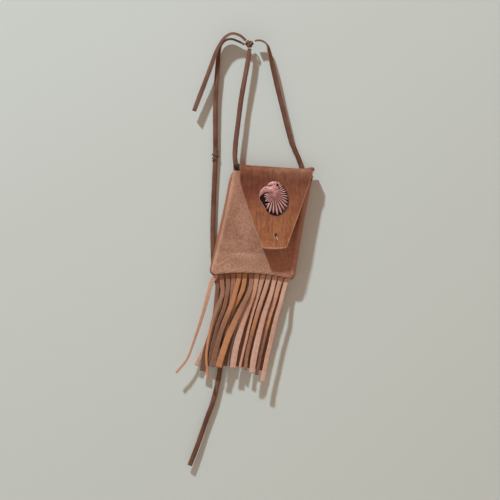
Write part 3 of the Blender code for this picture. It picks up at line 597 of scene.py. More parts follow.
def left_side(down):
    """x of the left seam: a leaning line, bowed inwards by half a sine."""
    return FOLD_LEFT - LEAN * down + WAIST_LEFT * np.sin(pi * down)


def right_side(down):
    """x of the right seam: a leaning line, bowed inwards by half a sine."""
    lean = LEAN - (BOTTOM_WIDTH - TOP_WIDTH)
    return FOLD_LEFT + TOP_WIDTH - lean * down - WAIST_RIGHT * np.sin(pi * down)


def across_share(x, down):
    """Share of the way across from the left seam to the right one."""
    return np.clip((x - left_side(down)) / (right_side(down) - left_side(down)), 0, 1)


def place_in_outline(across, down):
    """x and z at a share across and a share down, from the fold's crown to the bottom seam."""
    x = left_side(down) + (right_side(down) - left_side(down)) * across
    top = crown_height(FOLD_LEFT + TOP_WIDTH * across)
    drop = POUCH_HEIGHT - BOTTOM_ARCH * 4 * across * (1 - across)
    return x, top - drop * down


def front_depth(across, down):
    """How far the front's outside stands off the seam's plane, away from its rolled edges."""
    below_mouth = (down - MOUTH_DOWN) / (1 - MOUTH_DOWN)
    swell = smooth_step(below_mouth, 0, FRONT_FULL_AT)
    bottom = smooth_step(below_mouth, FRONT_BOTTOM_AT, 1)
    middle = FRONT_SIDE_FULLNESS + (1 - FRONT_SIDE_FULLNESS) * 4 * across * (1 - across)
    fullness = FRONT_BELLY * (1 - bottom) + FRONT_BOTTOM_FULLNESS * bottom
    return FRONT_MOUTH_DEPTH + fullness * swell * middle


def rolled_edge():
    """Insets, lowest heights and rises of the edge's rings, from the allowance to the face.

    The leather lies along the seam, turns outwards round a small radius, and swells to
    the panel's face along a quarter of an ellipse, made fuller by a power.
    """
    turn = np.radians(np.linspace(0, 90, 7))
    swell = np.radians(np.linspace(9, 90, 10))
    inset = [SEAM_ALLOWANCE, *TURN_RADIUS * (1 - np.sin(turn)), *ROLL * (1 - np.cos(swell))]
    height = [0, *TURN_RADIUS * (1 - np.cos(turn)), *[TURN_RADIUS] * len(swell)]
    rise = [0, *0 * turn, *np.sin(swell) ** FULL_ROLL]
    return np.array(inset), np.array(height), np.array(rise)


def never_flat(down):
    """An edge that is rolled in all the way down."""
    return 0 * down


def opened(inset, height, flat):
    """Insets and heights of an edge's rings, from its end inwards, opened by a share.

    Going outwards from the last ring, each step turns less by that share, until the sheet
    lies flat, and the steps shrink until together they reach just to the seam's line.
    """
    out = -np.diff(inset[:, ::-1], axis=1)
    drop = np.abs(np.diff(height[:, ::-1], axis=1))
    step = np.hypot(out, drop)
    fit = inset[:, -1:] / step.sum(axis=1, keepdims=True)
    step = step * (1 + (fit - 1) * flat)
    turn = np.arctan2(drop, out) * (1 - flat)
    inset[:, :-1] = inset[:, -1:] - np.cumsum(step * np.cos(turn), axis=1)[:, ::-1]
    height[:, :-1] = height[:, -1:] - np.cumsum(step * np.sin(turn), axis=1)[:, ::-1]
    return inset, height


def panel(first_down, inner_columns, inner_rows, depth_of, flat_of=never_flat):
    """x, z, height off the seam's plane and share down of one panel's outside.

    Columns run from the left seam to the right one and rows from the mouth to the bottom.
    The outermost rings follow rolled_edge, also round the bottom corners, and the sides are
    opened out by the share that flat_of gives.
    """
    inset, height, rise = rolled_edge()
    rings = len(inset)
    columns = 2 * rings + inner_columns
    rows = rings + inner_rows
    column, row = np.meshgrid(np.arange(columns), np.arange(rows))
    from_left = column
    from_right = columns - 1 - column
    from_bottom = rows - 1 - row
    side = np.minimum(from_left, from_right)
    on_left = from_left <= from_right
    radius = np.where(on_left, CORNER_LEFT, CORNER_RIGHT)
    ring = np.minimum(np.minimum(side, from_bottom), rings)
    ring_inset = np.append(inset, 0)[ring]
    ring_inset = np.where(ring == rings, radius, ring_inset)

    # Inside a corner the rings are arcs, and elsewhere they run along the sides.
    far = np.maximum(side, from_bottom)
    in_corner = (side < rings) & (from_bottom < rings)
    turned = np.radians(45) * (rings - far) / np.maximum(rings - ring, 1)
    near_inset = radius - (radius - ring_inset) * np.cos(turned)
    far_inset = radius - (radius - ring_inset) * np.sin(turned)
    side_inset = np.append(inset, 0)[np.minimum(side, rings)]
    side_inset = np.where(side >= rings, radius, side_inset)
    side_inset = np.where(in_corner, np.where(side <= from_bottom, near_inset, far_inset),
                          side_inset)
    bottom_inset = np.append(inset, 0)[np.minimum(from_bottom, rings)]
    bottom_inset = np.where(from_bottom >= rings, radius, bottom_inset)
    bottom_inset = np.where(in_corner, np.where(side <= from_bottom, far_inset, near_inset),
                            bottom_inset)

    last_inner = 1 - bottom_inset / POUCH_HEIGHT
    inner_down = (rows - 1 - rings - row) / (inner_rows - 1)
    down = np.where(from_bottom >= rings,
                    last_inner + (first_down - last_inner) * inner_down, last_inner)
    seam = SIDE_HALF_GAP + (BOTTOM_HALF_GAP - SIDE_HALF_GAP) * smooth_step(down, *SEAM_OPENS_AT)
    width = right_side(down) - left_side(down)
    left_share = CORNER_LEFT / width
    right_share = 1 - CORNER_RIGHT / width
    inner_across = left_share + (right_share - left_share) * (column - rings) / (inner_columns - 1)
    across = np.where(on_left, side_inset / width, 1 - side_inset / width)
    across = np.where(side >= rings, inner_across, across)
    low = np.append(height, TURN_RADIUS)[ring] + seam
    full = depth_of(across, down) - TURN_RADIUS - seam
    depth = low + np.append(rise, 1)[ring] * full

    above = from_bottom[:, 0] >= rings
    for edge in (np.s_[above, : rings + 1], np.s_[above, : -rings - 2 : -1]):
        edge_inset = np.minimum(across[edge], 1 - across[edge]) * width[edge]
        edge_inset, edge_height = opened(edge_inset, depth[edge], flat_of(down[edge])[:, :1])
        depth[edge] = np.maximum(edge_height, seam[edge])
        share = edge_inset / width[edge]
        across[edge] = np.where(on_left[edge], share, 1 - share)
    x, z = place_in_outline(across, down)
    return x, z, depth, down


def seam_distance(x, z):
    """Metres from a point of the front to the nearest of the two sides and the bottom seam."""
    down = np.clip((crown_height(x) - z) / POUCH_HEIGHT, 0, 1)
    across = across_share(x, down)
    bottom = place_in_outline(across, 1.0)[1]
    return np.minimum(np.minimum(x - left_side(down), right_side(down) - x), z - bottom)


def hill(x, z, place, size, lean):
    """A smooth hill of height 1 round a place: e to minus its squared distance in half sizes."""
    right, up = x - place[0], z - place[1]
    along = (right * np.cos(lean) + up * np.sin(lean)) / size[0]
    square = (up * np.cos(lean) - right * np.sin(lean)) / size[1]
    return np.exp(-(along**2) - square**2)


def puckers(x, z):
    """Shallow gathers where the seam's stitches pull, fading away from the seam."""
    near = np.exp(-np.maximum(seam_distance(x, z), 0) / PUCKER_REACH)
    return PUCKER * near * np.sin(2 * pi * (z - 0.35 * x) / STITCH_PITCH)


def front_relief(x, z):
    """The front's relief: hills and hollows, slow slack waves, and the seams' puckers."""
    shapes = sum(height * hill(x, z, middle, size, radians(lean))
                 for height, middle, size, lean in SOFT_SHAPES)
    slack = 0.0005 * np.sin(95 * x + 40 * z) * np.sin(70 * z - 20 * x)
    return shapes + slack + puckers(x, z)


def unfaded(x, z):
    """Where the flap has kept the light off the leather, and where its shadow is painted: right of a
    slanting line.
    """
    (top_x, top_z), (low_x, low_z) = FADE_LINE
    line = top_x + (low_x - top_x) * (z - top_z) / (low_z - top_z)
    return smooth_step(x - line, *FADE_SOFT)


def walled(piece, thickness):
    """Gives an open sheet its wall, inwards from its outside, with softly rounded cut edges."""
    wall = piece.modifiers.new("wall", "SOLIDIFY")
    wall.thickness = thickness
    wall.offset = -1
    wall.use_even_offset = True
    wall.use_quality_normals = True
    wall.material_offset_rim = 1


def tan_leather():
    """Soft tan grain leather: cloudy, dark in its creases, rubbed paler along the seams.

    It is lighter towards the top and towards the bottom. Right of a slanting line it is darker,
    partly as leather that the flap kept from fading, partly as the flap's painted shadow.
    Small orange and dark flecks lie between the pebbles, where the finish has worn.
    """
    material, tree, shader = new_material("tan_leather", 0.72)
    place = object_place(tree)
    parts = grain(tree, place, 1150.0)
    flecks = add_node(tree, "TexNoise", {"Vector": place, "Scale": 620.0, "Detail": 2.0})
    tone = mixed_colour(tree, parts["Cloud"], colour(162, 114, 90), colour(192, 144, 118))
    stains = add_node(tree, "TexNoise", {"Vector": place, "Scale": 75.0, "Detail": 5.0,
                                         "Roughness": 0.62})
    stain = between(tree, stains.outputs["Fac"], 0.46, 0.64)
    tone = mixed_colour(tree, calculate(tree, "MULTIPLY", stain, 0.75), tone,
                        (0.84, 0.78, 0.80, 1.0), blend="MULTIPLY")
    upper = between(tree, layer(tree, "down"), 0.46, 0.24)
    tone = mixed_colour(tree, calculate(tree, "MULTIPLY", upper, 0.35), tone,
                        colour(206, 150, 124))
    low = between(tree, layer(tree, "down"), 0.68, 0.90)
    tone = mixed_colour(tree, calculate(tree, "MULTIPLY", low, 0.5), tone, colour(214, 166, 138))
    # Darker right of the slanting line: partly unfaded leather, partly the flap's painted shadow.
    tone = mixed_colour(tree, layer(tree, "covered"), tone, (0.80, 0.58, 0.50, 1.0),
                        blend="MULTIPLY")
    tone = mixed_colour(tree, calculate(tree, "MULTIPLY", parts["Crease"], 0.5), tone,
                        colour(118, 74, 54))
    light = calculate(tree, "MULTIPLY", between(tree, flecks.outputs["Fac"], 0.56, 0.68), 0.45)
    tone = mixed_colour(tree, light, tone, colour(208, 148, 112))
    dark = calculate(tree, "MULTIPLY", between(tree, flecks.outputs["Fac"], 0.44, 0.32), 0.5)
    tone = mixed_colour(tree, dark, tone, colour(126, 84, 62))
    rub = between(tree, layer(tree, "to_edge"), 0.0050, 0.0008)
    rub = calculate(tree, "MULTIPLY", rub, calculate(tree, "ADD", 0.25, parts["Pore"]))
    tone = mixed_colour(tree, calculate(tree, "MULTIPLY", rub, 0.45), tone, colour(208, 164, 138))
    tree.links.new(tone, shader.inputs["Base Color"])
    raised(tree, shader, parts["Height"], 0.00026)
    return material


def cut_edge(name, core, fibre):
    """The raw cut edge of leather: pale, with loose fibres along it."""
    material, tree, shader = new_material(name, 0.85)
    parts = grain(tree, object_place(tree), 2600.0)
    tree.links.new(mixed_colour(tree, parts["Pore"], core, fibre), shader.inputs["Base Color"])
    raised(tree, shader, parts["Height"], 0.0002)
    return material


x, z, height, front_down = panel(MOUTH_DOWN, 84, 96, front_depth)
height = height + front_relief(x, z) * smooth_step(height, 0.0012, 0.0030)
front = surface("front_panel", np.stack([x, -height, z], axis=-1)[None], flip=True,
                to_edge=seam_distance(x, z)[None], down=front_down[None],
                covered=unfaded(x, z)[None])
front.data.materials.append(tan_leather())
front.data.materials.append(cut_edge("tan_cut_edge", colour(186, 146, 120), colour(150, 108, 82)))
walled(front, LEATHER)
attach(front, "pouch")
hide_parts("pouch_front")

# Side seams' thread: short bars across the groove between the front's roll and the back's.
# Thin brown linen thread, pulled tight when the bag was sewn inside out.
THREAD = 0.00045
THREAD_REACH = 0.0021
STITCHED = (0.10, 0.94)  # shares down between which the thread shows
STITCH_SINKS = 0.86  # cosine of the bend at which a stitch meets the seam's line


def seam_stitches(outwards):
    """Stitches down one side: each is a small arch over the seam, with its ends in the leather."""
    count = int(POUCH_HEIGHT * (STITCHED[1] - STITCHED[0]) / STITCH_PITCH)
    down = np.linspace(*STITCHED, count)
    across = 0.0 if outwards < 0 else 1.0
    edge_x, edge_z = place_in_outline(across, down)
    bend = np.radians(np.linspace(-80, 80, 9))
    round_it = 2 * pi * np.arange(8) / 8
    reach = THREAD_REACH + THREAD / 2 * np.cos(round_it)
    arch = (np.cos(bend) - STITCH_SINKS)[:, None] * THREAD_REACH * 0.5
    out = arch + np.cos(round_it) * THREAD / 2
    x = edge_x[:, None, None] + outwards * out
    y = -np.sin(bend)[:, None] * reach + 0 * x
    z = edge_z[:, None, None] + np.sin(round_it) * THREAD / 2 + 0 * x
    return np.stack([x, y, z], axis=-1)


stitch_points = np.concatenate([seam_stitches(-1), seam_stitches(1)])
stitches = surface("seam_stitches", stitch_points, around=True)
linen, tree, shader = new_material("linen_thread", 0.8)
linen_grain = grain(tree, object_place(tree), 2600.0)
tree.links.new(mixed_colour(tree, linen_grain["Pore"], colour(110, 74, 54), colour(158, 118, 92)),
               shader.inputs["Base Color"])
raised(tree, shader, linen_grain["Height"], 0.0001)
stitches.data.materials.append(linen)
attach(stitches, "pouch")

# Back and flap: one sheet of orange-brown leather. It is the back of the pouch, folds over
# at the top and hangs down in front as the flap, which narrows to a blunt tip. Its face
# is drawn into fine upright streaks and its cut edges are pale.
BACK_MOUTH_DEPTH = 0.0036
BACK_BELLY = 0.0016
BACK_FULL_AT = 0.22
EDGE_ROLLS_AT = (0.05, 0.16)
FLAP_LEFT = FOLD_LEFT + 0.0053
FLAP_RIGHT = FOLD_LEFT + TOP_WIDTH
FLAP_LENGTH = 0.0836
FLAP_TIP_LEFT = FLAP_LEFT + 0.0230
FLAP_TIP_WIDTH = 0.0237
FLAP_TIP_HEIGHT = FOLD_HEIGHT - FLAP_LENGTH
FLAP_SHOULDER = 0.0125
FLAP_LEFT_CURVE = 1.25
FLAP_RIGHT_CURVE = 1.1
FLAP_CLEARANCE = 0.0004
FLAP_LIFT = 0.0092
FLAP_LIFT_RIGHT = 0.0084
FLAP_LIFT_CURVE = 1.6
FOLD_FRONT = FRONT_MOUTH_DEPTH + FLAP_CLEARANCE + LEATHER
FOLD_RADIUS = (BACK_MOUTH_DEPTH + FOLD_FRONT) / 2
FOLD_CENTRE_Y = (BACK_MOUTH_DEPTH - FOLD_FRONT) / 2
FOLD_DOWN = FOLD_RADIUS / POUCH_HEIGHT
LEFT_SWELL = 0.0010  # how far the back's roll shows past the front's at the left
BUTTON_PLACE = (FLAP_LEFT + 0.0335, FOLD_HEIGHT - 0.0342)
SLIT_PLACE = (FLAP_TIP_LEFT + 0.0137, FLAP_TIP_HEIGHT + 0.0109)
SLIT_LENGTH = 0.0070
SLIT_WIDTH = 0.0017
# The dark round the slit's top is painted shade of the slit.
SLIT_STAIN = (0.0013, 0.0026)  # half width and half height of the dark mark round its top
FLAP_TIP_BOW = 0.0013  # how far the tip's edge hangs lower in its middle
CROWN_SAG = (0.0012, 0.0022)  # how far the fold has sunk at the flap's left and right
SAG_REACH = 0.014
CURL_WIDTH = 0.0075
TONGUES = (  # how far each curled tongue reaches out, its drop below the crown, its half height
    (0.0017, 0.0016, 0.0014),
    (0.0015, 0.0072, 0.0012),
)
TONGUE_RISE = (0.0022, 0.0040, 0.012)  # how far the end turns up, and its reach down and across
SLIT_LEAN = radians(22)
LACE_HOLE_X = FLAP_RIGHT - 0.0138
LACE_HOLE_PLACE = (LACE_HOLE_X, crown_height(LACE_HOLE_X) - 0.0066)
LACE_HOLE_SIZE = (0.0098, 0.0066)


def back_depth(across, down):
    """How far the back's outside stands off the seam's plane; it is flat across."""
    return BACK_MOUTH_DEPTH + BACK_BELLY * smooth_step(down, FOLD_DOWN, BACK_FULL_AT)


def flap_edges(share):
    """x of the flap's left and right edges at a share of the way from the fold to the tip."""
    shoulder = FLAP_SHOULDER / FLAP_LENGTH
    slant = np.clip((share - shoulder) / (1 - shoulder), 0, 1)
    left = FLAP_LEFT + (FLAP_TIP_LEFT - FLAP_LEFT) * slant**FLAP_LEFT_CURVE
    tip_right = FLAP_TIP_LEFT + FLAP_TIP_WIDTH
    right = FLAP_RIGHT + (tip_right - FLAP_RIGHT) * share**FLAP_RIGHT_CURVE
    return left, right


def flap_outside(x, z):
    """y of the flap's outer face where it hangs over the front."""
    down = np.clip((crown_height(x) - z) / POUCH_HEIGHT, 0, 1)
    hang = np.clip((crown_height(x) - FOLD_RADIUS - z) / FLAP_LENGTH, 0, 1)
    across = across_share(x, down)
    stand_off = front_depth(across, down) - FRONT_MOUTH_DEPTH
    lift = FLAP_LIFT + (FLAP_LIFT_RIGHT - FLAP_LIFT) * across
    return -(FOLD_FRONT + stand_off + lift * hang**FLAP_LIFT_CURVE)


def back_flatness(down):
    """The back's edges are rolled in at the seams, and a plain cut sheet beside the fold."""
    return 1 - smooth_step(down, *EDGE_ROLLS_AT)


def back_sheet(inner_columns, inner_rows):
    """x, y, z of the back's outside, rows from the fold to the bottom seam.

    It is the panel's shape, and its left roll swells out past the front's, most at half
    of its depth.
    """
    x, z, height, down = panel(FOLD_DOWN, inner_columns, inner_rows, back_depth, back_flatness)
    round_share = np.clip(height / back_depth(0, down), 0, 1)
    swell = np.sin(pi * round_share) * smooth_step(across_share(x, down), 0.12, 0.05)
    swell = swell * smooth_step(down, 0.04, 0.2) * smooth_step(down, 0.96, 0.60)
    return x - LEFT_SWELL * swell, height, z


def curled_end(x, z):
    """How far the fold's right end reaches out and up, in two small curled tongues."""
    near_end = smooth_step(FLAP_RIGHT - x, CURL_WIDTH, 0.0)
    below = crown_height(x) - z
    tongues = sum(reach * np.exp(-(((below - drop) / half_height) ** 2))
                  for reach, drop, half_height in TONGUES)
    height, down, across = TONGUE_RISE
    rise = height * np.exp(-((below / down) ** 2)) * smooth_step(FLAP_RIGHT - x, across, 0.0)
    return near_end * tongues, rise


def crown_sag(x, z):
    """How far the soft fold has sunk: most at its crown, nothing below it or at the ear."""
    depth = np.interp(x, (FLAP_LEFT, FLAP_RIGHT), CROWN_SAG)
    beside = smooth_step(x, FLAP_LEFT - 0.0005, FLAP_LEFT + 0.0040)
    return depth * beside * smooth_step(crown_height(x) - z, SAG_REACH, 0.0)


def back_and_flap_sheet():
    """Points of the whole sheet, rows from the bottom seam over the fold to the flap's tip.

    The fold is half a turn about an axis that slopes with the crown. At the left the back's
    corner stands up beside the flap's narrower end, and at the right the rows slant in.
    Returns with them the distance to the nearest edge, the share of the way down the flap,
    the share of the right end's curl, and 1 on the corner that stands up.
    """
    x, y, z = back_sheet(84, 90)
    back_edge = seam_distance(x, z)
    share = (x[0] - x[0, 0]) / (x[0, -1] - x[0, 0])
    turn = np.radians(np.linspace(90, -90, 38))[1:-1, None]
    rear = np.maximum(np.sin(turn), 0) ** 2
    ear = smooth_step(turn, radians(8), radians(24))
    fold_share = 0.5 * FOLD_RADIUS / FLAP_LENGTH
    front_left, front_right = flap_edges(np.maximum(-np.sin(turn), 0) * fold_share)
    left = front_left + (x[0, 0] - front_left) * ear
    right = front_right + (x[0, -1] - front_right) * rear
    fold_x = left + (right - left) * share
    fold_y = FOLD_CENTRE_Y + FOLD_RADIUS * np.sin(turn) + 0 * fold_x
    fold_z = crown_height(fold_x) - FOLD_RADIUS * (1 - np.cos(turn))

    hang = np.linspace(0, 1, 96)[:, None]
    left, right = flap_edges(fold_share + (1 - fold_share) * hang)
    flap_x = left + (right - left) * share
    start = crown_height(flap_x) - FOLD_RADIUS
    flap_z = start + (FLAP_TIP_HEIGHT - start) * hang
    flap_z = flap_z - FLAP_TIP_BOW * (1 - (2 * share - 1) ** 2) * hang**5
    flap_y = flap_outside(flap_x, flap_z)
    flap_y = flap_y - flap_relief(flap_x, flap_z) * smooth_step(hang, 0, 0.08)
    to_edge = np.minimum(np.minimum(flap_x - left, right - flap_x) * 0.96,
                         flap_z - FLAP_TIP_HEIGHT)
    fold_edge = np.minimum(fold_x - fold_x[:, :1], fold_x[:, -1:] - fold_x)
    x = np.vstack([x[::-1], fold_x, flap_x])
    y = np.vstack([y[::-1], fold_y, flap_y])
    z = np.vstack([z[::-1], fold_z, flap_z])
    # The curl's share also marks where dark shade is painted on the curled end.
    out, up = curled_end(x, z)
    up = up - crown_sag(x, z)
    # Where shade is painted inside the ear at the fold's left end.
    in_ear = smooth_step(FLAP_LEFT + 0.0015 - x, 0.0, 0.0010) * smooth_step(z, -0.1300, -0.1285)
    hang = np.broadcast_to(hang, flap_x.shape)
    hang = np.vstack([np.full((len(x) - len(hang), hang.shape[1]), 0.0), hang])
    edge = np.vstack([back_edge[::-1], fold_edge, to_edge])
    return np.stack([x + out, y, z + up], axis=-1), edge, hang, out / TONGUES[0][0], in_ear


def flap_relief(x, z):
    """The flap's soft shapes: slow waves across and down, half a millimetre high at most.

    They fade out towards the button, which sits on a flat place.
    """
    clear = smooth_step(np.hypot(x - BUTTON_PLACE[0], z - BUTTON_PLACE[1]), 0.0165, 0.0240)
    return clear * (0.00030 * np.sin(120 * x + 30 * z) * np.sin(85 * z)
                    + 0.00022 * np.sin(260 * x - 70 * z + 1.0) * np.sin(190 * z + 60 * x))


def slit_mark(points):
    """The painted shade round the slit's top on the flap's face: an ellipse with a soft rim."""
    wide = (points[..., 0] - SLIT_PLACE[0] + 0.0006) / SLIT_STAIN[0]
    high = (points[..., 2] - SLIT_PLACE[1] - 0.0016) / SLIT_STAIN[1]
    on_flap = smooth_step(points[..., 1], -0.0050, -0.0060)
    return on_flap * smooth_step(np.hypot(wide, high), 1.15, 0.6)


def cut_through(piece, place, size, lean=0.0):
    """Cuts an elliptical hole through a sheet along Y, and returns its cutter.

    The place is the hole's x and z and the y where the cut starts and ends, and the size is
    its width and height.
    """
    turn = 2 * pi * np.arange(28) / 28
    wide, high = np.cos(turn) * size[0] / 2, np.sin(turn) * size[1] / 2
    middle_x, middle_z, near, far = place
    x = middle_x + wide * np.cos(lean) + high * np.sin(lean)
    z = middle_z - wide * np.sin(lean) + high * np.cos(lean)
    ring = np.stack([np.stack([x, 0 * x + y, z], axis=-1) for y in np.linspace(near, far, 3)])
    cutter = surface("cutter", ring[None], around=True)
    hole = piece.modifiers.new("hole", "BOOLEAN")
    hole.operation = "DIFFERENCE"
    hole.object = cutter
    return cutter


def settle_modifiers(piece, *cutters):
    """Makes the evaluated shape the piece's own mesh, and removes the cutters."""
    evaluated = piece.evaluated_get(bpy.context.evaluated_depsgraph_get())
    mesh = bpy.data.meshes.new_from_object(evaluated)
    piece.modifiers.clear()
    piece.data = mesh
    for cutter in cutters:
        bpy.data.objects.remove(cutter)


def flap_leather():
    """Reddish brown leather, darkest above the button and orange towards the tip: partly its own
    tone, partly painted shade at the top and painted light towards the tip.

    Fine fibres are drawn down its face between darker blotches, and it is rubbed pale along
    its cut edges. It is painted dark as shade where the fold's right end has curled, and painted as
    shade inside the ear at its left.
    """
    material, tree, shader = new_material("flap_leather", 0.66)
    place = object_place(tree)
    parts = grain(tree, place, 1250.0)
    drawn = object_place(tree, (1150.0, 1150.0, 120.0))
    streaks = add_node(tree, "TexNoise", {"Vector": drawn, "Scale": 1.0, "Detail": 4.0,
                                          "Roughness": 0.6})
    streak = between(tree, streaks.outputs["Fac"], 0.38, 0.64)
    blotches = add_node(tree, "TexNoise", {"Vector": place, "Scale": 170.0, "Detail": 4.0})
    blotch = between(tree, blotches.outputs["Fac"], 0.42, 0.62)
    hang = layer(tree, "hang")
    # Darker at the top and orange towards the tip: partly the leather's tone, partly painted shade at
    # the top and painted light at the tip.
    tone = colour_ramp(tree, hang, ((0.0, colour(154, 104, 75)), (0.10, colour(126, 74, 45)),
                                    (0.30, colour(139, 77, 46)), (0.52, colour(154, 93, 55)),
                                    (0.75, colour(170, 108, 66)), (1.0, colour(178, 115, 73))))
    red = calculate(tree, "MULTIPLY", blotch, 0.6)
    tone = mixed_colour(tree, red, tone, (0.80, 0.62, 0.58, 1.0), blend="MULTIPLY")
    tone = mixed_colour(tree, calculate(tree, "MULTIPLY", streak, 0.75), tone,
                        (0.66, 0.58, 0.52, 1.0), blend="MULTIPLY")
    broad = add_node(tree, "TexNoise", {"Vector": object_place(tree, (360.0, 360.0, 42.0)),
                                        "Scale": 1.0, "Detail": 3.0})
    band = between(tree, broad.outputs["Fac"], 0.44, 0.60)
    tone = mixed_colour(tree, calculate(tree, "MULTIPLY", band, 0.75), tone,
                        (0.72, 0.62, 0.56, 1.0), blend="MULTIPLY")
    tone = mixed_colour(tree, calculate(tree, "MULTIPLY", parts["Crease"], 0.35), tone,
                        colour(96, 56, 38))
    edge = between(tree, layer(tree, "to_edge"), 0.0013, 0.0002)
    tone = mixed_colour(tree, calculate(tree, "MULTIPLY", edge, 0.5), tone, colour(196, 150, 122))
    side = add_node(tree, "SeparateXYZ", {0: place}).outputs
    # The upper left, above the button, is darker still: partly the leather's tone, partly painted
    # shade.
    left = calculate(tree, "MULTIPLY", between(tree, side["X"], 0.034, -0.012),
                     between(tree, hang, 0.55, 0.25))
    tone = mixed_colour(tree, calculate(tree, "MULTIPLY", left, 0.8), tone,
                        (0.72, 0.47, 0.34, 1.0), blend="MULTIPLY")
    # Painted shade round the slit's top.
    tone = mixed_colour(tree, layer(tree, "slit"), tone, colour(48, 18, 10))
    # Painted shade: dark where the fold's right end has curled.
    curl = between(tree, layer(tree, "curl"), 0.45, 0.95)
    tone = mixed_colour(tree, curl, tone, colour(58, 38, 30))
    # Painted shade: darker inside the ear at the fold's left end.
    inward = calculate(tree, "MULTIPLY", layer(tree, "ear"),
                       between(tree, side["Y"], 0.0030, 0.0022))
    tone = mixed_colour(tree, inward, tone, colour(96, 78, 58))
    tree.links.new(tone, shader.inputs["Base Color"])
    height = calculate(tree, "ADD", calculate(tree, "MULTIPLY", parts["Height"], 0.4),
                       calculate(tree, "MULTIPLY", streak, 0.5))
    raised(tree, shader, height, 0.00018)
    return material


sheet_points, sheet_edge, sheet_hang, sheet_curl, sheet_ear = back_and_flap_sheet()
back = surface("back_and_flap", sheet_points[None], to_edge=sheet_edge[None],
               hang=sheet_hang[None], curl=sheet_curl[None], ear=sheet_ear[None],
               slit=slit_mark(sheet_points)[None])
back.data.materials.append(flap_leather())
back.data.materials.append(cut_edge("flap_cut_edge", colour(196, 150, 120), colour(158, 108, 78)))
walled(back, LEATHER)
slit_y = float(flap_outside(*SLIT_PLACE))
slit_cutter = cut_through(back, (*SLIT_PLACE, slit_y - 0.003, slit_y + 0.0022),
                          (SLIT_WIDTH, SLIT_LENGTH), -SLIT_LEAN)
lace_cutter = cut_through(back, (*LACE_HOLE_PLACE, 0.0008, 0.0080), LACE_HOLE_SIZE)
settle_modifiers(back, slit_cutter, lace_cutter)
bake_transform(back)
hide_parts("pouch_back", "flap")

# Loose fibres: a frayed wisp of the flap's flesh side hangs out of the slit, and a fine
# hair of leather hangs on the front just below the flap's tip.
WISP = ((-0.0006, 0.0012, 0.0016), (0.0004, -0.0002, -0.0002), (0.0014, -0.0007, -0.0022),
        (0.0019, -0.0010, -0.0036), (0.0030, -0.0013, -0.0046))
HAIR = ((0.0213, -0.0030, -0.2062), (0.0222, -0.0012, -0.2100), (0.0236, -0.0008, -0.2138),
        (0.0242, -0.0008, -0.2158))


def fibre(name, route, width, body, core, edge):
    """A limp flat fibre, tapering to both ends."""
    line = smooth_route(route, 28)
    taper = 0.25 + 0.75 * np.sin(pi * np.linspace(0.12, 0.96, len(line)))
    points, _ = carried_strip(line, turned_across(line, ((0, 0.2), (1, -0.5))), width * taper,
                              0.3 * width * taper, columns=8, roundness=0.8)
    piece = surface(name, points[None], around=True)
    piece.data.materials.append(cut_edge(name, core, edge))
    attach(piece, body)


slit_place = np.array([SLIT_PLACE[0], slit_y, SLIT_PLACE[1]])
fibre("slit_wisp", slit_place + WISP, 0.0018, "flap", colour(186, 160, 160), colour(214, 190, 186))
hair_route = np.array(HAIR)
hair_down = (crown_height(hair_route[:, 0]) - hair_route[:, 2]) / POUCH_HEIGHT
hair_route[:, 1] -= front_depth(across_share(hair_route[:, 0], hair_down), hair_down)
fibre("front_hair", hair_route, 0.0005, "pouch", colour(170, 128, 104), colour(200, 160, 136))

# Fringe: two strips of leather cut into strands and sewn into the bottom seam, one in front
# of the other. The strands hang over to the left and curl a little; some show the smooth
# face, some the pale flesh side.
HEADER_BELOW = 0.0020
SLIT_BETWEEN = 0.0007
FRINGE_LEFT = FOLD_LEFT - LEAN + 0.0028
FRINGE_PITCH = (BOTTOM_WIDTH - 0.0028 - 0.0035) / 13
FRINGE_LENGTH = 0.1000
STRAND_LAYER = FRINGE_LEATHER + GAP
STRAND_ROWS = 90
STRAND_SETTLE = 0.14
STRAND_STAND = (0.03, 0.28)
STRAND_TAPER = (0.1, 0.75)
STRAND_SHRINK = 0.19  # share of its width that a strand has lost by curling
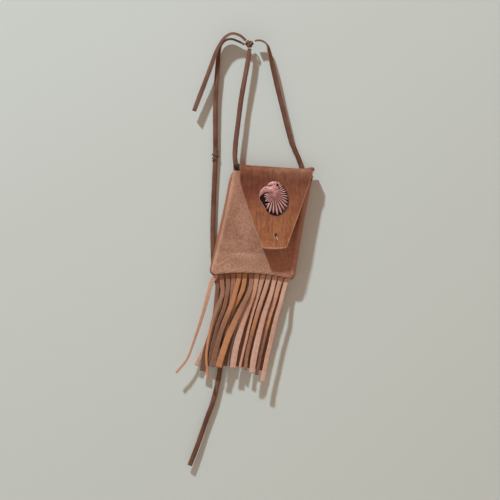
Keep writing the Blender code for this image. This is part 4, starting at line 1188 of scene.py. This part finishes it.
# Each front strand from left to right: its drift to the right and its drop below the seam
# as shares of the fringe's length, the layer that its lower half hangs in, its width at the
# tip as a share of the pitch, its turn halfway and at the tip, and its tones at the top and
# at the tip, from 0, dark brown, through 0.6, orange, to 1, pale pink.
FRONT_STRANDS = (
    (((-0.042, 0.09), (-0.091, 0.28), (-0.141, 0.45), (-0.224, 0.7),
      (-0.285, 0.85), (-0.390, 0.98)), 0.8, 0.5, -0.21, 0.14, 0.86, 0.8),
    (((0.010, 0.1), (0.010, 0.21), (-0.056, 0.38), (-0.114, 0.59),
      (-0.147, 0.82), (-0.130, 1.04)), 2.6, 0.5, 0.35, 0.63, 0.4, 0.62),
    (((0.010, 0.12), (-0.030, 0.34), (-0.088, 0.5), (-0.132, 0.66),
      (-0.166, 0.8), (-0.192, 0.92)), 1.3, 0.67, -0.28, -0.21, 0.34, 0.22),
    (((0.000, 0.12), (-0.040, 0.34), (-0.100, 0.5), (-0.158, 0.68),
      (-0.188, 0.82), (-0.202, 0.93)), 0, 0.76, 0.14, 0.28, 0.44, 0.2),
    (((-0.003, 0.06), (-0.026, 0.15), (-0.072, 0.31), (-0.163, 0.54),
      (-0.232, 0.77), (-0.263, 0.94)), 1.3, 1.04, 0.07, 0.17, 0.56, 0.26),
    (((-0.016, 0.14), (-0.055, 0.24), (-0.147, 0.42), (-0.190, 0.6),
      (-0.218, 0.78), (-0.235, 0.92)), 0, 0.84, -0.14, 0.07, 0.58, 0.24),
    (((0.005, 0.08), (-0.018, 0.19), (-0.110, 0.38), (-0.217, 0.61),
      (-0.293, 0.83), (-0.324, 0.94)), 2.8, 1.24, 0.17, -0.07, 0.44, 0.6),
    (((-0.019, 0.15), (-0.058, 0.27), (-0.142, 0.5), (-0.203, 0.71),
      (-0.230, 0.85), (-0.241, 0.945)), 1.4, 1.24, 0.1, 0, 0.78, 0.95),
    (((-0.033, 0.15), (-0.076, 0.29), (-0.120, 0.45), (-0.164, 0.65),
      (-0.205, 0.82), (-0.232, 0.94)), 0.1, 0.57, 0.35, 0.56, 0.82, 0.8),
    (((-0.030, 0.13), (-0.074, 0.26), (-0.120, 0.41), (-0.172, 0.6),
      (-0.218, 0.8), (-0.235, 0.95)), 1.3, 0.74, -0.21, 0.21, 0.84, 0.4),
    (((-0.029, 0.15), (-0.067, 0.27), (-0.113, 0.41), (-0.173, 0.65),
      (-0.214, 0.85), (-0.228, 0.975)), 2.6, 1.21, 0.07, -0.07, 0.88, 0.98),
    (((-0.037, 0.15), (-0.074, 0.28), (-0.114, 0.41), (-0.168, 0.62),
      (-0.217, 0.85), (-0.240, 0.98)), 1.1, 0.74, 0.21, -0.28, 0.8, 0.3),
    (((-0.032, 0.13), (-0.068, 0.27), (-0.108, 0.41), (-0.162, 0.64),
      (-0.215, 0.88), (-0.243, 1.035)), 2.4, 0.91, -0.1, 0.07, 0.94, 0.92),
)
BACK_STRANDS_LEFT = (
    (((-0.006, 0.1), (-0.020, 0.26), (-0.050, 0.48), (-0.110, 0.68),
      (-0.164, 0.8), (-0.220, 0.915)), 1.2, 0.87, 0.07, 0, 0.3, 0.9),
    (((-0.008, 0.12), (-0.040, 0.3), (-0.098, 0.5), (-0.150, 0.66),
      (-0.194, 0.82), (-0.216, 0.975)), 0, 1.18, -0.07, 0.14, 0.26, 0.08),
)
BACK_RUN = ((-0.031, 0.14), (-0.073, 0.27), (-0.117, 0.42), (-0.168, 0.63), (-0.212, 0.82),
            (-0.228, 0.93))
BACK_LAYERS = (1.2, 0.0)
BACK_STRANDS = 12
BACK_TIP_SHARE = 0.87
RIPPLE = 0.0003


def strand(index, first_left, y_seam, outwards, details):
    """Points, place across and tone of one strand of the fringe.

    The strand is a rounded strip about a smooth run. It starts square to the header, drifts
    as its points say, narrows to its tip, moves out to its own layer and turns about itself.
    """
    drift, hang_layer, tip_share, half_turn, tip_turn, top_tone, tip_tone = details
    drift = np.array(drift) * FRINGE_LENGTH
    left_x = first_left + index * FRINGE_PITCH + SLIT_BETWEEN / 2
    right_x = left_x + FRINGE_PITCH - SLIT_BETWEEN
    left_z, right_z = (place_in_outline(across_share(x, 1.0), 1.0)[1] for x in (left_x, right_x))
    top_width = right_x - left_x
    header = np.array([right_x - left_x, 0, right_z - left_z])
    run = smooth_route([(0.0, 0.0), (0.0, HEADER_BELOW), *drift], STRAND_ROWS) * (1, -1)
    along = np.linspace(0, 1, STRAND_ROWS)
    middle = (left_x + right_x) / 2, (left_z + right_z) / 2
    ripple = wavering(along * 0.1, 0.034, index * 1.7) * smooth_step(along, 0.05, 0.4)
    stand = hang_layer * STRAND_LAYER * smooth_step(along, *STRAND_STAND)
    y = y_seam - outwards * stand - RIPPLE * ripple
    line = np.stack([middle[0] + run[:, 0], y, middle[1] + run[:, 1]], axis=1)
    level = unit(np.cross((0.0, 1.0, 0.0), unit(np.gradient(line, axis=0))))
    level = np.where(level[:, :1] < 0, -level, level)
    settle = smooth_step(along, 0, STRAND_SETTLE)[:, None]
    across = unit(header) * (1 - settle) + level * settle
    turn = np.interp(along, (0, 0.12, 0.5, 1), (0, 0, half_turn, tip_turn))[:, None]
    tangent = unit(np.gradient(line, axis=0))
    across = across * np.cos(turn) + np.cross(tangent, across) * np.sin(turn)
    taper = smooth_step(along, *STRAND_TAPER)
    width = top_width + (tip_share * FRINGE_PITCH - top_width) * taper
    width = width * (1 - STRAND_SHRINK * smooth_step(along, 0, 0.1))
    width = width * (1 + 0.05 * wavering(along * 0.1, 0.05, index * 2.3))
    points, place = carried_strip(line, across, width, FRINGE_LEATHER, columns=16, roundness=0.34)
    tone = top_tone + (tip_tone - top_tone) * smooth_step(along, 0.3, 0.75)
    return points, place, np.broadcast_to(tone[:, None], place.shape)


def fringe_leather():
    """Cut strands: each has its own tone, from dark brown through orange to pale pink.

    Soft streaks run along a strand, its cut edges are pale, and its face has a fine nap.
    """
    material, tree, shader = new_material("fringe_leather", 0.8)
    run = add_node(tree, "CombineXYZ", {0: layer(tree, "along"), 1: layer(tree, "across"),
                                        2: layer(tree, "strand")})
    streaked = add_node(tree, "Mapping", {"Vector": run.outputs[0], "Scale": (45.0, 2.2, 9.0)})
    streaks = add_node(tree, "TexNoise", {"Vector": streaked.outputs[0], "Scale": 1.0,
                                          "Detail": 5.0, "Roughness": 0.6})
    parts = grain(tree, object_place(tree), 1500.0)
    ramp = colour_ramp(tree, layer(tree, "tone"), (
        (0.0, colour(66, 34, 18)), (0.3, colour(126, 80, 56)), (0.45, colour(150, 98, 70)),
        (0.6, colour(188, 122, 72)), (0.78, colour(188, 136, 108)), (1.0, colour(204, 162, 144))))
    streak = between(tree, streaks.outputs["Fac"], 0.34, 0.68)
    tone = mixed_colour(tree, calculate(tree, "MULTIPLY", streak, 0.45), ramp,
                        (0.62, 0.52, 0.46, 1.0), blend="MULTIPLY")
    tone = mixed_colour(tree, calculate(tree, "MULTIPLY", parts["Pore"], 0.16), tone,
                        colour(232, 196, 172))
    edge = between(tree, layer(tree, "edge"), 0.88, 0.98)
    tone = mixed_colour(tree, calculate(tree, "MULTIPLY", edge, 0.25), tone, colour(206, 160, 130))
    tree.links.new(tone, shader.inputs["Base Color"])
    height = calculate(tree, "ADD", calculate(tree, "MULTIPLY", parts["Height"], 0.5),
                       calculate(tree, "MULTIPLY", streak, 0.5))
    raised(tree, shader, height, 0.00018)
    return material


def add_fringe(name, strands, first_left, y_seam, outwards, node, leather):
    """One strip of the fringe: all its strands in one mesh, each with its own number and tone."""
    made = [strand(k, first_left, y_seam, outwards, details) for k, details in enumerate(strands)]
    points, across, tone = (np.array(values) for values in zip(*made))
    along = np.linspace(0, 0.1, STRAND_ROWS)[None, :, None]
    number = np.arange(len(made))[:, None, None]
    piece = surface(name, points, around=True, tone=tone, across=across, edge=np.abs(across),
                    along=along, strand=number)
    piece.data.materials.append(leather)
    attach(piece, "pouch")
    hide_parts(node)
    return piece


def back_strands():
    """The back strip's strands: the two leftmost have runs of their own, the others share one.

    The others' turns and tones vary as sines of their numbers.
    """
    # Their tones stay dark: partly the back strip's own tone, partly painted shade cast by the front
    # strip.
    others = [(BACK_RUN, BACK_LAYERS[k % 2], BACK_TIP_SHARE, 0.2 * np.sin(2.1 * k),
               0.3 * np.sin(1.3 * k + 1), 0.14 + 0.1 * np.sin(3.7 * k),
               0.06 + 0.14 * np.sin(2.9 * k) ** 2)
              for k in range(BACK_STRANDS - len(BACK_STRANDS_LEFT))]
    return [*BACK_STRANDS_LEFT, *others]


y_strip = (FRINGE_LEATHER + GAP) / 2
strand_leather = fringe_leather()
add_fringe("front_strands", FRONT_STRANDS, FRINGE_LEFT, -y_strip, 1, "fringe_front",
           strand_leather)
add_fringe("back_strands", back_strands(), FRINGE_LEFT + FRINGE_PITCH / 2, y_strip, -1,
           "fringe_back", strand_leather)

# Eagle button: a cast head in low relief on a thin plate, facing left, in dusty pink copper
# that has gone dark in its recesses. The stud cast on its back, which holds it in the flap, is not
# drawn here.
BUTTON_PLATE = 0.0013
BUTTON_RIM = (0.0003, 0.975, 0.016)  # height of the raised rim, its place and its reach as shares
DARK_PLATE = (0.0009, 0.0003)  # heights between which the casting comes down to the dark plate
DARK_RECESS = 0.00042  # this far below its surroundings the casting is quite dark
# Ridges are painted paler: partly wear, partly painted highlight.
PALE_RIDGE = 0.00030  # this far above them it is worn quite pale
BUTTON_OUTLINE = (
    (-0.0140, 0.0014), (-0.0138, 0.0052), (-0.0122, 0.0089), (-0.0090, 0.0116),
    (-0.0064, 0.0128), (-0.0042, 0.0158), (0.0002, 0.0174), (0.0048, 0.0170),
    (0.0092, 0.0140), (0.0130, 0.0086), (0.0148, 0.0026), (0.0156, -0.0028),
    (0.0146, -0.0084), (0.0112, -0.0138), (0.0050, -0.0172), (-0.0012, -0.0164),
    (-0.0062, -0.0128), (-0.0094, -0.0078), (-0.0118, -0.0040), (-0.0136, -0.0012),
)
FEATHER_ROOT = np.array((0.0012, 0.0042))
FAN = (radians(176), radians(418))  # directions of the first feather and the last
FEATHERS = 20
FAN_SHORT = (radians(200), radians(246))  # up to here the tips stop short, then reach the rim
FEATHER_DEPTH = 0.0013
TIERS = ((0.985, 0.0, 0.0), (0.93, 0.0009, 0.5))  # where a tier ends, how low it lies, its shift
FAN_HEIGHT = (0.0034, 0.0024)  # height of the fan at its root, and how far it falls to the rim
WEDGE = ((-0.0030, -0.0037), (-0.0112, -0.0048))  # deep notch between two feathers at the left
WEDGE_HALF_WIDTH = (0.0001, 0.0020)
HEAD_BARS = (  # spines and radii of the rounded masses: crown, brow, beak and lower jaw
    (((-0.0034, 0.0134), (0.0004, 0.0143), (0.0044, 0.0136)), (0.0030, 0.0038, 0.0034), 0.62),
    (((-0.0010, 0.0112), (0.0022, 0.0118), (0.0054, 0.0106)), (0.0026, 0.0030, 0.0024), 0.86),
    (((-0.0020, 0.0090), (-0.0080, 0.0088), (-0.0112, 0.0066), (-0.0132, 0.0034),
      (-0.0138, 0.0006)), (0.0046, 0.0040, 0.0030, 0.0016, 0.0006), 0.62),
    (((-0.0012, 0.0046), (-0.0052, 0.0042), (-0.0084, 0.0032)), (0.0014, 0.0011, 0.0005), 1.0),
)
DOMES = (  # middle, half width and half height, height, and its filling power: cheek, nape
    ((-0.0002, 0.0082), (0.0070, 0.0044), 0.0034, 0.4),
    ((0.0022, 0.0058), (0.0044, 0.0040), 0.0033, 0.5),
)
GROOVES = (  # lines, half width and depth: mouth, brow line, above the eye, behind it, throat
    (((-0.0090, 0.0054), (-0.0044, 0.0061), (-0.0010, 0.0060)), 0.00042, 0.0011),
    (((-0.0064, 0.0126), (-0.0034, 0.0122), (-0.0008, 0.0132)), 0.00040, 0.0007),
    (((0.0041, 0.0162), (0.0044, 0.0134)), 0.00032, 0.0008),
    (((0.0054, 0.0114), (0.0064, 0.0096)), 0.00075, 0.0016),
    (((0.0022, 0.0090), (0.0046, 0.0084)), 0.00036, 0.0006),
)
PITS = (((0.0044, 0.0132), 0.0012, 0.0020), ((-0.0077, 0.0101), 0.0006, 0.0010))  # eye, nostril


def along_line(x, z, line):
    """Distance from a line of points, and how far along it, from 0 to its count less 1."""
    nearest, along = np.full(x.shape, np.inf), np.zeros(x.shape)
    for number, (start, end) in enumerate(zip(line, line[1:])):
        run = np.subtract(end, start)
        share = np.clip(((x - start[0]) * run[0] + (z - start[1]) * run[1]) / (run @ run), 0, 1)
        away = np.hypot(x - start[0] - share * run[0], z - start[1] - share * run[1])
        along = np.where(away < nearest, number + share, along)
        nearest = np.minimum(nearest, away)
    return nearest, along


def rounded_bar(x, z, line, radii, fullness):
    """Height of a bar with a half-round section, whose radius changes along its line."""
    away, along = along_line(x, z, line)
    radius = np.interp(along, np.arange(len(radii)), radii)
    return fullness * radius * np.sqrt(np.clip(1 - (away / radius) ** 2, 0, 1))


def feather_tier(share, direction, end, shift):
    """How full a fan of feathers is: 0 between them and past their tips, 1 on their spines.

    Each feather has an even share of the fan's angle. Its half width falls to nothing over
    the last quarter of its length, and its ridge falls away from the spine.
    """
    place = (direction - FAN[0]) / (FAN[1] - FAN[0]) * FEATHERS + shift
    number = np.floor(place)
    off_spine = np.abs(2 * (place - number) - 1)
    end = end * (1 + 0.04 * np.sin(2.4 * number))
    half_width = np.clip((end - share) / (0.26 * end), 0, 1) ** 0.8
    inside = np.clip((1.2 * half_width - off_spine) / 0.18, 0, 1)
    ridge = np.clip(1 - (off_spine / np.maximum(half_width, 0.05)) ** 1.8, 0, 1)
    return inside, ridge


def head_height(share, direction, x, z):
    """Height of the eagle's head above the plate, at shares of the way from root to rim.

    Two tiers of pointed feathers fan out from one root, the lower one filling the gaps. The
    crown, brow, beak and jaw are rounded bars, the cheek and nape are domes, and the mouth
    and the lines round the eye are sunk as grooves with a bell-shaped section.
    """
    short = smooth_step(direction, *FAN_SHORT)
    in_fan = smooth_step(direction, FAN[0] - 0.02, FAN[0] + 0.02)
    slope = FAN_HEIGHT[0] - FAN_HEIGHT[1] * share**1.5
    height = np.zeros(x.shape)
    for end, lower, shift in TIERS:
        inside, ridge = feather_tier(share, direction, end * (0.70 + 0.30 * short), shift)
        relief = FEATHER_DEPTH * (ridge - 1) * smooth_step(share, 0.06, 0.28)
        height = np.maximum(height, inside * in_fan * (slope - lower + relief))
    away, along = along_line(x, z, WEDGE)
    height = height * smooth_step(away - np.interp(along, (0, 1), WEDGE_HALF_WIDTH), 0, 0.0004)
    for middle, half, top, power in DOMES:
        away = ((x - middle[0]) / half[0]) ** 2 + ((z - middle[1]) / half[1]) ** 2
        height = np.maximum(height, top * np.clip(1 - away, 0, 1) ** power)
    for line, radii, fullness in HEAD_BARS:
        height = np.maximum(height, rounded_bar(x, z, line, radii, fullness))
    for line, half_width, depth in GROOVES:
        height = height - depth * np.exp(-((along_line(x, z, line)[0] / half_width) ** 2))
    for (pit_x, pit_z), radius, depth in PITS:
        height = height - depth * np.exp(-((np.hypot(x - pit_x, z - pit_z) / radius) ** 4))
    rim_height, rim_place, rim_reach = BUTTON_RIM
    rim = rim_height * np.exp(-(((share - rim_place) / rim_reach) ** 2))
    return np.clip(height, 0, None) * smooth_step(share, 1.0, 0.95) + rim


def cast_button():
    """Rings from the feathers' root out to the plate's rim, and round behind the plate.

    The button follows the flap's face. Returns the points, how deep each lies below its
    surroundings or on the bare plate, from 0 to 1, and how far it stands above them.
    """
    around, inner = 560, 118
    outline = smooth_route((*BUTTON_OUTLINE, BUTTON_OUTLINE[0]), 721)[:-1] - FEATHER_ROOT
    outline_angle = np.arctan2(outline[:, 1], outline[:, 0])
    direction = FAN[0] - radians(61) + 2 * pi * np.arange(around) / around
    reach = np.interp(direction, outline_angle, np.hypot(*outline.T), period=2 * pi)
    edge = reach[:, None] * np.stack([np.cos(direction), np.sin(direction)], axis=1)
    share = np.linspace(0.012, 1.0, inner)[:, None]
    flat = FEATHER_ROOT + edge * share[..., None]
    height = head_height(share, direction, flat[..., 0], flat[..., 1])
    smooth = height.copy()
    for _ in range(16):
        beside = np.roll(smooth, 2, axis=1) + np.roll(smooth, -2, axis=1)
        over = np.vstack([smooth[:1], smooth[:-1]]) + np.vstack([smooth[1:], smooth[-1:]])
        smooth = (smooth + beside + over) / 5
    bare_plate = smooth_step(height, *DARK_PLATE)
    bare_plate = bare_plate * (1 - 0.5 * smooth_step(flat[..., 0], 0.004, 0.009))
    worn_rim = smooth_step(share, 0.955, 0.975) * smooth_step(flat[..., 0], -0.0050, -0.0080)
    bare_plate = bare_plate * (1 - 0.8 * worn_rim)
    depth = np.maximum(np.clip((smooth - height) / DARK_RECESS, 0, 1), bare_plate)
    # Paler on the ridges: partly wear, partly painted highlight.
    worn = np.clip((height - smooth) / PALE_RIDGE, 0, 1)
    rim = np.stack([FEATHER_ROOT + edge * scale for scale in (1.006, 1.004, 0.99, 0.6, 0.1)])
    rim_height = np.array([-0.3, -0.8, -1.0, -1.0, -1.0]) * BUTTON_PLATE
    flat = np.concatenate([flat, rim])
    height = np.vstack([height, rim_height[:, None] + np.zeros((len(rim), around))])
    depth = np.vstack([depth, np.full((len(rim), around), 0.7)])
    worn = np.vstack([worn, np.zeros((len(rim), around))])
    x = BUTTON_PLACE[0] + flat[..., 0]
    z = BUTTON_PLACE[1] + flat[..., 1]
    y = flap_outside(x, z) - GAP - BUTTON_PLATE - height
    return np.stack([x, y, z], axis=-1), depth, worn


def cast_copper():
    """Dusty pink copper, paler on its ridges from wear and painted highlight, and near black where
    the casting lies deep.
    """
    material, tree, shader = new_material("cast_copper", 0.5)
    shader.inputs["Metallic"].default_value = 0.2
    place = object_place(tree)
    clouds = add_node(tree, "TexNoise", {"Vector": place, "Scale": 420.0, "Detail": 5.0})
    pits = add_node(tree, "TexNoise", {"Vector": place, "Scale": 2600.0, "Detail": 3.0})
    cloud = between(tree, clouds.outputs["Fac"], 0.4, 0.62)
    tone = mixed_colour(tree, cloud, colour(160, 106, 101), colour(183, 126, 119))
    # Pale ridges: partly wear, partly painted highlight.
    tone = mixed_colour(tree, calculate(tree, "MULTIPLY", layer(tree, "worn"), 0.7), tone,
                        colour(206, 156, 146))
    dark = between(tree, layer(tree, "depth"), 0.05, 0.68)
    tone = mixed_colour(tree, dark, tone, colour(24, 4, 2))
    tree.links.new(tone, shader.inputs["Base Color"])
    rough = add_node(tree, "MapRange", {0: dark, 3: 0.5, 4: 0.95})
    tree.links.new(rough.outputs[0], shader.inputs["Roughness"])
    raised(tree, shader, pits.outputs["Fac"], 0.00006)
    return material


button_points, button_depth, button_worn = cast_button()
button = surface("cast_eagle_head", button_points[None], around=True, depth=button_depth[None],
                 worn=button_worn[None])
button.data.materials.append(cast_copper())
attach(button, "flap")
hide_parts("eagle_button")
